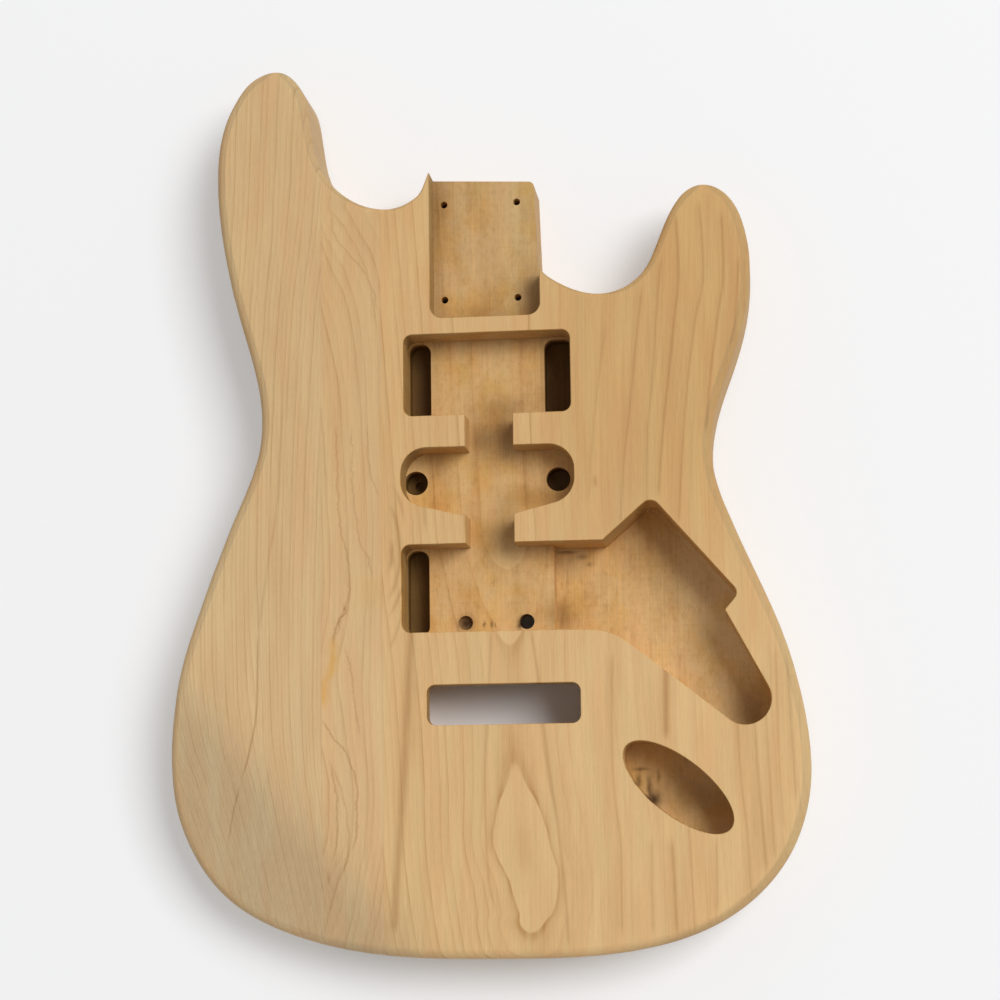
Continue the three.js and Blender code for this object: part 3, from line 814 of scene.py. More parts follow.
def back_cutters(finish):
    """Bridge slot, block pocket and spring channel."""
    cut = routing_sizes()
    slot = rectangle(cut.slot_offset, -cut.slot_place, cut.slot_width, cut.slot_length, cut.slot_corner)
    pocket_y = -cut.slot_place - cut.block_shift
    pocket_width = cut.slot_width + 2 * cut.block_margin
    pocket = rectangle(cut.slot_offset, pocket_y, pocket_width, cut.block_length, cut.slot_corner)
    spring_foot = pocket_y + cut.block_length / 2 - cut.slot_corner
    spring_y = spring_foot + cut.spring_length / 2
    springs = rectangle(0, spring_y, cut.spring_width, cut.spring_length, cut.slot_corner)
    blank = blank_sizes()
    return [
        front_cutter(slot, blank.thickness - cut.block_depth / 2, finish),
        add_cutter(pocket, -cut.overrun, cut.block_depth, finish),
        add_cutter(springs, -cut.overrun, cut.spring_depth, finish),
    ]


def subtract(obj, cutter):
    apply_modifier(
        obj, "BOOLEAN", operation="DIFFERENCE", solver="EXACT", object=cutter, material_mode="TRANSFER")
    bpy.data.objects.remove(cutter)


# Boards
def slice_of(body, name, start, end):
    """The slice of the routed body between two upright planes across its width, as a finished piece."""
    blank, cut = blank_sizes(), routing_sizes()
    obj = body.copy()
    obj.data = body.data.copy()
    obj.name = name
    bpy.context.scene.collection.objects.link(obj)
    bpy.ops.object.select_all(action="DESELECT")
    bpy.ops.mesh.primitive_cube_add(size=1, location=((start + end) / 2, 0, blank.thickness / 2))
    box = bpy.context.active_object
    box.scale = (end - start, blank.body_length + cut.overrun, blank.thickness + cut.overrun)
    bpy.ops.object.transform_apply(location=True, rotation=True, scale=True)
    box.data.materials.append(body.data.materials[0])
    apply_modifier(
        obj, "BOOLEAN", operation="INTERSECT", solver="EXACT", object=box, material_mode="TRANSFER")
    bpy.data.objects.remove(box)
    return obj


def finish_piece(obj, node):
    """Shading, frame and slot of a finished piece."""
    make_active(obj)
    bpy.ops.object.shade_smooth_by_angle(angle=SMOOTH_ANGLE)
    apply_modifier(obj, "WEIGHTED_NORMAL", mode="FACE_AREA", weight=AREA_WEIGHT, keep_sharp=True)
    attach(obj, "root")
    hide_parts(node)


# Materials

# Noises: scale per millimetre across, along and through a board, then detail and roughness.
SLOW_WANDER = ((0.03, 0.008, 0.03), 2.0, 0.5)
QUICK_WANDER = ((0.16, 0.035, 0.16), 2.0, 0.5)
STROKE_JAG = ((0.12, 0.16, 0.12), 4.0, 0.7)
STROKE_BREAKS = ((0.2, 0.05, 0.2), 3.0, 0.6)
LONG_FIBRES = ((1.1, 0.018, 1.1), 3.0, 0.62)
SHORT_FIBRES = ((1.8, 0.14, 1.8), 2.0, 0.6)
PORES = ((2.6, 0.25, 2.6), 2.0, 0.6)
SOFT_CLOUDS = ((0.05, 0.012, 0.05), 2.0, 0.5)
BLUSH_CLOUDS = ((0.09, 0.012, 0.09), 2.0, 0.5)
UNEVEN_RINGS = ((0.25, 0.02, 0.25), 2.0, 0.5)
RAGGED_ACROSS = ((0.35, 0.35, 0.35), 4.0, 0.65)
RAGGED_ALONG = ((0.21, 0.5, 0.3), 4.0, 0.65)
GOLDEN_PATCHES = ((0.05, 0.035, 0.05), 4.0, 0.6)
BURNT_PATCHES = ((0.07, 0.045, 0.07), 5.0, 0.65)
BURNT_FLECKS = ((0.45, 0.25, 0.45), 5.0, 0.75)
CUTTER_ALONG = ((1.0, 0.03, 0.4), 3.0, 0.6)
CUTTER_ACROSS = ((0.03, 0.9, 0.4), 3.0, 0.6)
UNEVEN_GLUE = ((0.4, 0.05, 0.4), 3.0, 0.5)

# Ramps: where each starts and ends, then its results there when they aren't 0 and 1.
# These are on noises, on parts of a ring and on widths of a stroke.
RING_LINE_RAMP = (0.72, 0.93)
RING_BAND_RAMP = (0.25, 0.95)
RING_END_RAMP = (0.95, 1.0, 1.0, 0.0)
TAIL_RISE_RAMP = (-7.0, -0.5)
TAIL_FALL_RAMP = (0.0, 0.8, 1.0, 0.0)
PORE_RAMP = (0.56, 0.72)
BLUSH_RAMP = (0.38, 0.62)
UNEVEN_RAMP = (0.35, 0.65, 0.5, 1.0)
BREAK_RAMP = (0.25, 0.5, 0.75, 1.0)
GOLD_RAMP = (0.4, 0.66)
PATCH_RAMP = (0.45, 0.75)
FLECK_RAMP = (0.46, 0.72)
GLUE_RAMP = (0.2, 0.8, 0.4, 0.6)
# These are on places in millimetres: across, along, and up from the front.
RIPE_ACROSS = (10.0, 55.0, 0.4, 1.0)
RIPE_ALONG = (-190.0, -60.0)
STROKE_REACH_DOWN = (-12.0, -4.0)
EYE_BEND_REACH = (16.0, 42.0, 1.0, 0.0)
EYE_BASS_SIDE = (-14.0, 4.0)
EYE_TREBLE_SIDE = (30.0, 38.0, 1.0, 0.0)
EYE_BOOST_ALONG = (-180.0, -200.0, 0.0, 0.5)
PAST_EYE = (30.0, 46.0)
# These two place the painted shade on the cavity walls.
SHALLOW_WALL_SHADE = (-22.0, -20.0, 0.4, 1.0)
BASS_WALL_SHADE = (-30.0, -20.0, 1.0, 0.2)
POCKET_DEPTHS = (-18.5, -17.0)
POCKET_START = (-2.0, 0.0)
# Depths of the painted shade in the leg slots; the next three keep it out of the control cavity and the
# bridge slot.
LEG_SLOT_SHADE_DEPTHS = (-20.5, -27.0)
BEFORE_CONTROLS = (30.0, 26.0)
ABOVE_CONTROLS = (-97.0, -94.0)
ABOVE_BRIDGE_SLOT = (-182.0, -180.0)
# These two place the dust and the painted light deep at the treble end of the cavities.
DUST_AND_LIGHT_DEPTHS = (-22.0, -28.0)
DUST_AND_LIGHT_ACROSS = (84.0, 124.0, 0.0, 0.8)
# These are on the parts of the direction in which a face looks.
UPRIGHT = (0.7, 0.2)
LEVEL = (0.3, 0.8)
LOOKS_TO_TREBLE = (0.1, 0.5)
LOOKS_TO_TAIL = (-0.1, -0.5)
# Faces of the treble roundings that get painted shade.
TREBLE_ROUNDING_SHADE = (0.02, 0.3)
# Faces of the forearm contour that get painted shade.
CONTOUR_SHADE_START = (-0.04, -0.14)
CONTOUR_SHADE_END = (-0.3, -0.2)

# Strength of each effect in the wood's colour, brightness, roughness and height. Raggedness is in
# millimetres.
PAST_EYE_SHARE = 0.3
BAND_SHARE = 0.32
LINE_SHARE = 0.36
TONE_SWING = 0.014
FIBRE_SWING = 0.42
CLOUD_SWING = 0.14
PORE_SHADE = -0.07
SHORT_FIBRE_SHARE = 0.35
PLAIN_ROUGHNESS = 0.7
FIBRE_GLOSS = -0.12
LINE_HEIGHT = 0.5
PORE_DEPTH = -0.4
LEAST_RING = 0.2
RING_SWING_POWER = 1.5
TONE_ORDER = 1.7
WANDER_RANGE = 3.0
STROKE_WANDER = 0.2
LINE_TAIL = 0.38
GOLD_SHARE = 0.7
LEAST_GOLD = 0.2
BURNT_SHARE = 0.42
FLECK_SHARE = 0.8
CUTTER_SWING = 0.2
CUTTER_ACROSS_SHARE = 0.6
SMUDGE_RAGGEDNESS = 5.0
CHAR_RAGGEDNESS = 2.5
BUMP_STRENGTH = 0.15
BUMP_HEIGHT = 0.2 * MM
WOOD_SHINE = 0.3

# What a board's grain hands to the wood's colour.
GRAIN_MASKS = ("Line", "Band", "Tone", "Strokes", "Amber")

# Sockets of the mix node that are for colours.
MIX_FACTOR, MIX_FIRST, MIX_SECOND, MIX_RESULT = 0, 6, 7, 2


# Soft dark lines down the treble side: width, strength, points along and across.
TREBLE_LINES = (
    (0.8, 0.22, ((-5, 62), (-36, 57.2), (-67, 53.6), (-100, 51))),
    (0.8, 0.3, ((14, 80.6), (-21, 76.2), (-52, 72.6), (-82, 68.9), (-113, 66.8))),
    (0.8, 0.3, ((30, 91), (10, 88.5), (-36, 84.5), (-67, 81.3), (-113, 80.3))),
    (0.9, 0.42, ((52, 98), (25, 99), (-6, 96.2), (-36, 92.5), (-67, 88.8), (-98, 86.1))),
    (0.8, 0.34, ((58, 110), (25, 111.6), (-6, 106.8), (-36, 102.5), (-67, 99.3), (-113, 95.7))),
    (0.9, 0.4, ((52, 121.6), (25, 121.7), (-6, 117.9), (-36, 113.6), (-66, 110.6))),
    (0.8, 0.32, ((28, 129.8), (10, 128.3), (-6, 126.9), (-24, 123))),
    (0.8, 0.3, ((-171, 61.9), (-217, 60.7), (-246, 61.6), (-275, 64), (-314, 63.9))),
    (0.8, 0.3, ((-262, 79), (-314, 79))),
    (1.0, 0.42, ((-262, 89), (-314, 90.7))),
    (0.8, 0.26, ((-222, 96), (-262, 97.6), (-314, 99.4))),
    (0.8, 0.32, ((-262, 111), (-304, 110.2))),
    (0.8, 0.3, ((-196, 122.5), (-232, 123.2), (-262, 125.8), (-296, 127))),
    (0.9, 0.36, ((-186, 130), (-232, 131.9), (-284, 135))),
    (0.8, 0.26, ((-180, 136), (-232, 137.3), (-278, 139))),
    (0.8, 0.22, ((-170, 142), (-217, 142.1), (-264, 144.2))),
    (0.8, 0.28, ((-176, 147.5), (-250, 150))),
)

# Grain of each board, in millimetres from the neck axis and the pocket's end.
# "order" and "phase" set which rings are strong, and "slow" and "quick" how far the fibres wander.
# "slant" and "curl" carry the rings through the thickness. "contrast" is the strength of the rings, and
# "jag" how far the strokes wander. "eye" is the line of the pith: its place across, its lean along the
# board and where along the board it has that place.
# "left" and "right": a place across, and there the sideways shift of the rings at points along the board.
# "pushes": middle and reach of a spot, across and along, and how far it pushes the rings sideways.
# "strokes", "lines" (with a soft tail) and "amber": width, strength, points along and across.
GRAINS = {
    "outer_bass_board": dict(
        ring_width=2.1, order=2.3, phase=0.4, slant=0.55, curl=0.004,
        slow=0.9, quick=0.3, contrast=1.0, jag=1.2,
        left=(-155, (
            (-310, 40), (-270, 25), (-235, 12), (-195, 2), (-150, 0), (0, -2), (130, 0),
        )),
        right=(-85, (
            (-310, 12), (-250, 3), (-200, -1), (-130, 0), (-60, 3), (0, 7), (60, 13), (130, 16),
        )),
        pushes=((-118, -196, 5, 40, 3),),
        strokes=(
            (0.5, 0.55, ((-159, -117.5), (-195, -117.9), (-217, -121.5), (-234, -126.5))),
            (0.5, 0.5, ((-234, -126.5), (-245, -130.1), (-268, -135.1))),
            (0.7, 0.5, ((-268, -135.1), (-276, -132), (-282, -130.4))),
            (0.8, 0.22, ((-40, -104.8), (-92, -107.5), (-125, -112.5), (-160, -117.2))),
        ),
    ),
    "inner_bass_board": dict(
        ring_width=3.4, order=1.9, phase=1.4, slant=0.35, curl=0.006,
        slow=1.6, quick=0.6, contrast=0.85, jag=4.2,
        left=(-82, (
            (-320, -14), (-285, -4), (-240, 4), (-205, 0), (-150, 5), (-60, 2), (-20, -3), (20, -12),
            (60, -26),
        )),
        right=(-51, (
            (-320, -12), (-285, -3), (-230, 2), (-150, 0), (-100, 3), (-50, 0), (0, -1), (60, -8),
        )),
        pushes=((-80, -172, 8, 22, -5), (-72, -250, 7, 42, 4), (-66, -140, 6, 14, 3)),
        strokes=(
            (0.5, 0.35, ((-52, -77), (-103, -75.5), (-134, -70.5), (-151, -74), (-165, -79))),
            (0.6, 0.5, ((-148, -73.5), (-153, -75.5), (-165, -79), (-172, -78.5))),
            (0.5, 0.35, ((-165, -74), (-182, -69.5), (-197, -68), (-213, -65.3))),
            (0.5, 0.45, (
                (-201, -85.7), (-211, -80.6), (-222, -72), (-241, -67), (-256, -67), (-272, -70.5),
            )),
            (0.5, 0.45, ((-222, -82), (-232, -79), (-247, -77), (-264, -77.2), (-276, -82))),
            (0.6, 0.4, ((-276, -82), (-287, -80.6), (-290, -76))),
            (0.5, 0.3, ((-225, -80), (-245, -73.5), (-262, -71.5), (-285, -75))),
            (0.5, 0.3, ((-52, -61.5), (-76, -60), (-94, -54))),
            (0.5, 0.3, ((-52, -69), (-83, -68.6), (-114, -65), (-125, -60), (-137, -58.6))),
            (0.5, 0.28, ((60, -79), (46, -77.6), (36, -70), (16, -58), (3, -55))),
            (0.5, 0.55, ((-143, -76), (-150, -72.5), (-154, -76.5), (-160, -74))),
        ),
        amber=(
            (2.4, 0.75, ((-160, -79), (-172, -79), (-181, -81), (-190, -84), (-200, -84))),
            (1.0, 0.6, ((-168, -80.5), (-176, -79.5), (-186, -80.5))),
            (2.0, 0.5, ((-184, -83), (-192, -85), (-200, -85))),
            (6.0, 0.3, ((-128, -64), (-140, -60), (-152, -62))),
        ),
    ),
    "centre_board": dict(
        ring_width=-3.25, order=2.3, phase=1.74, slant=0.0, curl=0.0,
        slow=0.5, quick=0.2, contrast=1.0, jag=0.5,
        eye=dict(axis=18.5, lean=-0.075, middle=-269.0),
        left=(-50, ((-320, 0), (-200, 0), (-100, 0), (60, 0))),
        right=(88, ((-320, -2), (-200, 0), (-120, 0), (-60, 4), (0, 12), (60, 20))),
        pushes=(),
        strokes=(
            (2.2, 0.48, ((-150, -38.5), (-200, -41.5), (-240, -44), (-280, -47), (-312, -49.3))),
            (0.9, 0.34, ((-158, 21), (-185, 24.5), (-215, 27.5), (-280, 35.4), (-320, 38.1))),
            (0.8, 0.28, ((-158, 1.5), (-210, -1.4), (-240, -2.7), (-275, -2), (-300, 2))),
            (1.1, 0.5, ((-112, -50.5), (-118, -48.8), (-125, -48.9), (-132, -51.5))),
            (1.1, 0.36, ((-94, -51), (-104, -46.5), (-120, -44.5), (-134, -46.5), (-146, -51.5))),
            (1.0, 0.28, ((-84, -49), (-94, -44.5), (-106, -42))),
            (1.0, 0.34, ((-132, -41.5), (-142, -45), (-155, -51))),
            (1.0, 0.28, ((-144, -41.5), (-156, -45), (-172, -51))),
            (0.9, 0.28, ((-84, -33), (-98, -32), (-112, -31))),
            (1.1, 1.0, ((-82.3, 54.6), (-91.3, 54.8))),
        ),
        lines=TREBLE_LINES,
    ),
    "treble_board": dict(
        ring_width=3.1, order=2.0, phase=0.9, slant=0.5, curl=0.003,
        slow=0.4, quick=0.15, contrast=0.3, jag=0.4,
        left=(88, ((-310, 3), (-200, 0), (-120, 0), (-60, 3), (0, 10), (60, 14))),
        right=(150, ((-310, 8), (-260, 4), (-200, 1), (-150, 0), (-100, 0), (-30, 8), (60, 14))),
        pushes=(),
        strokes=((1.7, 0.55, ((-168, 88.3), (-200, 87.8), (-219, 87.4))),),
        lines=TREBLE_LINES,
    ),
}

# Height of the centre board's pith above the front, along the board: near places make a closed eye.
EYE_DEPTHS = (
    (-340, 34.6), (-320, 33.7), (-310, 32.6), (-307, 32.2), (-301, 31.6), (-293, 30.8),
    (-284, 30.2), (-270, 29.5), (-256, 30.3), (-246, 31.3), (-236, 32.3), (-227, 32.6),
    (-215, 33.1), (-195, 33.4), (-178, 33.1), (-170, 32.7), (-164, 32.2), (-157, 31.5),
    (-148, 30.5), (-130, 29), (-100, 27.5), (0, 27.5), (80, 27.5),
)
# Sideways bend of the pith about its straight line, felt only near the eye.
EYE_BENDS = (
    (-330, 0), (-310, -1), (-300, 1.8), (-290, 2.2), (-282, 1.4), (-272, -1.6), (-262, -3),
    (-227, -2.9), (-190, -1.2), (-160, 0),
)

# Marks on the cavity floors: middle across and along, reach each way, strength. These smudges are partly
# dust and partly painted shade beside the walls and in the corners.
SMUDGES_AND_SHADE = (
    (10, -57, 8, 13, 0.5),
    (0, -57, 13, 9, 0.45),
    (6, -43, 15, 6, 0.5),
    (-6, -62, 7, 12, 0.6),
    (22, -91, 14, 6, 0.5),
    (8, -104, 7, 14, 0.5),
    (-2, -110, 11, 10, 0.45),
    (34, -151.5, 8, 9, 0.8),
    (-27, 66, 9, 22, 0.6),
    (-28, 20, 5, 46, 0.5),
    (22, 14, 9, 18, 0.5),
    (0, 1, 28, 7, 0.5),
    (127, -201, 15, 14, 0.85),
    (114, -250, 20, 12, 0.55),
    (97, -242, 15, 10, 0.55),
    (-28, -72, 5, 12, 0.5),
    (-38, -30, 6, 20, 0.5),
)
# Burnt and torn spots, in the same columns; those on and beside the ground wire hole are painted shade.
CHARS = (
    (-14, -155, 3.8, 3.4, 1.0),
    (-4.4, -156, 0.7, 1.6, 0.7),
    (-0.6, -156, 0.8, 1.8, 0.7),
    (1.2, -156.2, 0.4, 1.2, 0.6),
    (16.5, -153.4, 3.4, 2, 0.8),
    (13.6, -156.8, 1.6, 2.4, 0.9),
    (37, -118.4, 5, 0.8, 0.6),
    (45, -121, 3, 1.2, 0.5),
    (49, -125, 2, 1, 0.4),
    (75.3, -99, 2, 3, 0.4),
    (73, -230, 4, 0.9, 0.6),
    (72, -236, 1.2, 4, 0.7),
    (77, -239, 1.4, 5, 0.7),
    (79.5, -245.5, 3.2, 4.2, 1.0),
    (82, -234, 0.8, 3, 0.5),
)


class Nodes:
    """Adds nodes to one tree. An input is given by its name or number, and takes a socket or a value."""

    def __init__(self, tree):
        self.tree = tree

    def feed(self, target, value):
        if isinstance(value, bpy.types.NodeSocket):
            self.tree.links.new(value, target)
        else:
            target.default_value = value

    def add(self, kind, inputs=None, **settings):
        node = self.tree.nodes.new(kind)
        for name, value in settings.items():
            setattr(node, name, value)
        for key, value in (inputs or {}).items():
            self.feed(node.inputs[key], value)
        return node

    def math(self, operation, *values, clamp=False):
        inputs = dict(enumerate(values))
        return self.add("ShaderNodeMath", inputs, operation=operation, use_clamp=clamp).outputs[0]

    def times(self, first, second, clamp=False):
        return self.math("MULTIPLY", first, second, clamp=clamp)

    def minus(self, first, second):
        return self.math("SUBTRACT", first, second)

    def times_plus(self, value, factor, offset):
        return self.math("MULTIPLY_ADD", value, factor, offset)

    def total(self, values):
        result = values[0]
        for value in values[1:]:
            result = self.math("ADD", result, value)
        return result

    def parts(self, vector):
        """The three parts of a vector."""
        return self.add("ShaderNodeSeparateXYZ", {0: vector}).outputs

    def ramp(self, value, start, end, low=0.0, high=1.0):
        """Goes smoothly from low to high between two values."""
        inputs = {"Value": value, "From Min": start, "From Max": end, "To Min": low, "To Max": high}
        return self.add("ShaderNodeMapRange", inputs, interpolation_type="SMOOTHSTEP").outputs[0]

    def noise(self, place, scale, detail, roughness):
        """Noise in the place in millimetres, with a scale for each direction."""
        stretched = self.add("ShaderNodeMapping", {"Vector": place, "Scale": scale}).outputs[0]
        inputs = {"Vector": stretched, "Scale": 1.0, "Detail": detail, "Roughness": roughness}
        return self.add("ShaderNodeTexNoise", inputs).outputs["Fac"]

    def swing(self, place, noise):
        """A noise about zero."""
        return self.minus(self.noise(place, *noise), 0.5)

    def mix(self, factor, first, second, blend="MIX"):
        node = self.add("ShaderNodeMix", data_type="RGBA", blend_type=blend)
        for socket, value in ((MIX_FACTOR, factor), (MIX_FIRST, first), (MIX_SECOND, second)):
            self.feed(node.inputs[socket], value)
        return node.outputs[MIX_RESULT]

    def tinted(self, mask, colour, shade):
        """The colour, multiplied by a shade as far as the mask says."""
        return self.mix(mask, colour, rgba(shade), "MULTIPLY")

    def dimmed(self, colour, level):
        """The colour, multiplied by a level."""
        grey = self.add("ShaderNodeCombineXYZ", {0: level, 1: level, 2: level}).outputs[0]
        return self.mix(1.0, colour, grey, "MULTIPLY")

    def curve(self, value, points):
        """A value that follows a few points (position, value)."""
        positions = [point[0] for point in points]
        values = [point[1] for point in points]
        first, last = min(positions), max(positions)
        low, rise = min(values), max(values) - min(values)
        scale = rise or 1.0
        limits = {"Value": value, "From Min": first, "From Max": last}
        share_along = self.add("ShaderNodeMapRange", limits).outputs[0]
        node = self.add("ShaderNodeFloatCurve", {"Value": share_along})
        line = node.mapping.curves[0]
        ordered = sorted(((p - first) / (last - first), (v - low) / scale) for p, v in points)
        line.points[0].location = ordered[0]
        line.points[1].location = ordered[-1]
        for place in ordered[1:-1]:
            line.points.new(*place)
        for point in line.points:
            point.handle_type = "AUTO_CLAMPED"
        node.mapping.update()
        return self.times_plus(node.outputs[0], rise, low)

    def group(self, tree, **inputs):
        node = self.add("ShaderNodeGroup", node_tree=tree)
        for name, value in inputs.items():
            self.feed(node.inputs[name.replace("_", " ")], value)
        return node.outputs


def rgba(values):
    return (*values, 1.0)


def new_group(name, inputs, outputs):
    """A node group: its tree, its helper, its input sockets and its output node. An input's default is a
    number, a colour, or None for a place in millimetres."""
    tree = bpy.data.node_groups.new(name, "ShaderNodeTree")
    for socket_name, default in inputs.items():
        kind = "Vector" if default is None else "Color" if isinstance(default, tuple) else "Float"
        socket = tree.interface.new_socket(socket_name, in_out="INPUT", socket_type="NodeSocket" + kind)
        if default is not None:
            socket.default_value = default
    for socket_name in outputs:
        kind = "Color" if socket_name == "Colour" else "Float"
        tree.interface.new_socket(socket_name, in_out="OUTPUT", socket_type="NodeSocket" + kind)
    nodes = Nodes(tree)
    return tree, nodes, nodes.add("NodeGroupInput").outputs, nodes.add("NodeGroupOutput").inputs


def new_material(name):
    """An empty material, and the helper that adds its nodes."""
    material = bpy.data.materials.new(name)
    material.use_nodes = True
    material.node_tree.nodes.clear()
    return material, Nodes(material.node_tree)


def neck_place(n):
    """Object coordinates as millimetres from the neck axis, the pocket's end and the front."""
    origin = neck_origin()
    coordinates = n.add("ShaderNodeTexCoord").outputs["Object"]
    inputs = {0: coordinates, 1: (-origin.x, -origin.y, -blank_sizes().thickness)}
    moved = n.add("ShaderNodeVectorMath", inputs, operation="ADD").outputs[0]
    return n.add("ShaderNodeVectorMath", {0: moved, "Scale": 1 / MM}, operation="SCALE").outputs[0]


def rings_group():
    """Growth rings from a ring coordinate, which rises by one a ring. A ring darkens softly towards its
    late wood and ends in a thin line; its strength varies from ring to ring."""
    inputs = {"Coordinate": 0.0, "Order": 2.3, "Phase": 0.0}
    tree, n, given, out = new_group("Growth rings", inputs, ("Line", "Band", "Tone"))
    index = n.math("FLOOR", given["Coordinate"])
    part = n.math("FRACT", given["Coordinate"])
    wave = n.math("SINE", n.times_plus(index, given["Order"], given["Phase"]))
    swing = n.math("POWER", n.times_plus(wave, 0.5, 0.5), RING_SWING_POWER)
    strength = n.times_plus(swing, 1 - LEAST_RING, LEAST_RING)
    end = n.ramp(part, *RING_END_RAMP)
    for socket, ramp in (("Line", RING_LINE_RAMP), ("Band", RING_BAND_RAMP)):
        n.feed(out[socket], n.times(n.times(n.ramp(part, *ramp), end), strength))
    n.feed(out["Tone"], n.math("SINE", n.times(index, TONE_ORDER)))
    return tree


def wander_group():
    """How far the fibres wander sideways, in millimetres."""
    tree, n, given, out = new_group("Wander", {"Place": None, "Slow": 2.0, "Quick": 0.6}, ("Shift",))
    shifts = [
        n.times(n.swing(given["Place"], noise), n.times(given[reach], WANDER_RANGE))
        for reach, noise in (("Slow", SLOW_WANDER), ("Quick", QUICK_WANDER))
    ]
    n.feed(out["Shift"], n.total(shifts))
    return tree


def spot_group():
    """One at a middle, falling off over a reach each way."""
    inputs = {"X": 0.0, "Y": 0.0, "Middle X": 0.0, "Middle Y": 0.0, "Reach X": 1.0, "Reach Y": 1.0}
    tree, n, given, out = new_group("Spot", inputs, ("Spot",))
    squares = []
    for axis in ("X", "Y"):
        scaled = n.math("DIVIDE", n.minus(given[axis], given["Middle " + axis]), given["Reach " + axis])
        squares.append(n.times(scaled, scaled))
    n.feed(out["Spot"], n.math("POWER", math.e, n.times(n.total(squares), -1.0)))
    return tree


def stroke_group():
    """A streak along a path: its mask from the place across, the path there and the place along. A soft
    tail can lie on its bass side."""
    inputs = {
        "Across": 0.0, "Path": 0.0, "Along": 0.0, "Start": 0.0, "End": 0.0, "Width": 1.0, "Tail": 0.0,
        "Fade": 8.0,
    }
    tree, n, given, out = new_group("Streak", inputs, ("Streak",))
    away = n.math("DIVIDE", n.minus(given["Across"], given["Path"]), given["Width"])
    mask = n.math("POWER", math.e, n.times(n.times(away, away), -1.0))
    beside = n.times(n.ramp(away, *TAIL_RISE_RAMP), n.ramp(away, *TAIL_FALL_RAMP))
    mask = n.math("MAXIMUM", mask, n.times(beside, given["Tail"]))
    rise = n.ramp(given["Along"], given["Start"], n.math("ADD", given["Start"], given["Fade"]))
    fall = n.ramp(given["Along"], n.minus(given["End"], given["Fade"]), given["End"], 1.0, 0.0)
    n.feed(out["Streak"], n.times(mask, n.times(rise, fall)))
    return tree


def fibres_group():
    """Fine fibres and short pores along the grain, and soft clouds of colour."""
    tree, n, given, out = new_group("Fibres", {"Place": None}, ("Fibre", "Pores", "Clouds"))
    place = given["Place"]
    long_ones = n.times(n.noise(place, *LONG_FIBRES), 1 - SHORT_FIBRE_SHARE)
    n.feed(out["Fibre"], n.times_plus(n.noise(place, *SHORT_FIBRES), SHORT_FIBRE_SHARE, long_ones))
    n.feed(out["Pores"], n.ramp(n.noise(place, *PORES), *PORE_RAMP))
    n.feed(out["Clouds"], n.noise(place, *SOFT_CLOUDS))
    return tree


def routing_group():
    """Masks of routed wood: golden patches, burnished mottling and the cutter's fine marks."""
    tree, n, given, out = new_group("Routing", {"Place": None}, ("Gold", "Mottle", "Level"))
    place = given["Place"]
    n.feed(out["Gold"], n.ramp(n.noise(place, *GOLDEN_PATCHES), *GOLD_RAMP))
    patches = n.ramp(n.noise(place, *BURNT_PATCHES), *PATCH_RAMP)
    flecks = n.ramp(n.noise(place, *BURNT_FLECKS), *FLECK_RAMP)
    n.feed(out["Mottle"], n.times_plus(flecks, FLECK_SHARE, patches))
    along, across = n.swing(place, CUTTER_ALONG), n.swing(place, CUTTER_ACROSS)
    marks = n.times_plus(across, CUTTER_ACROSS_SHARE, along)
    n.feed(out["Level"], n.times_plus(marks, CUTTER_SWING, 1.0))
    return tree


def spot(n, groups, x, y, sizes):
    """A spot from its middle across and along and its reach across and along."""
    names = ("Middle_X", "Middle_Y", "Reach_X", "Reach_Y")
    return n.group(groups["spot"], X=x, Y=y, **dict(zip(names, sizes)))[0]


def marks_group(groups, name, table, ragged):
    """Spots on the cavity floors, with edges ragged by so many millimetres."""
    tree, n, given, out = new_group(name, {"Place": None}, ("Mask",))
    x, y, _ = n.parts(given["Place"])
    x = n.times_plus(n.swing(given["Place"], RAGGED_ACROSS), ragged, x)
    y = n.times_plus(n.swing(given["Place"], RAGGED_ALONG), ragged, y)
    spots = [n.times(spot(n, groups, x, y, sizes), strength) for *sizes, strength in table]
    n.feed(out["Mask"], n.times(n.total(spots), 1.0, clamp=True))
    return tree


def eye_distance(n, x, y, z, eye):
    """Distance from a pith whose height varies along the board: near places make closed eyes."""
    axis = n.times_plus(n.minus(y, eye["middle"]), eye["lean"], eye["axis"])
    straight = n.minus(x, axis)
    near = n.ramp(n.math("ABSOLUTE", straight), *EYE_BEND_REACH)
    across = n.minus(straight, n.times(n.curve(y, EYE_BENDS), near))
    down = n.minus(n.curve(y, EYE_DEPTHS), z)
    return n.math("SQRT", n.total([n.times(across, across), n.times(down, down)]))


def streaks(n, groups, table, x, y, tail=0.0):
    """The streaks of a table, each with a soft tail of a given strength."""
    masks = []
    for width, strength, points in table:
        ends = [point[0] for point in points]
        streak = n.group(
            groups["stroke"], Across=x, Path=n.curve(y, points), Along=y, Start=float(min(ends)),
            End=float(max(ends)), Width=width, Tail=tail)[0]
        masks.append(n.times(streak, strength))
    return n.total(masks)


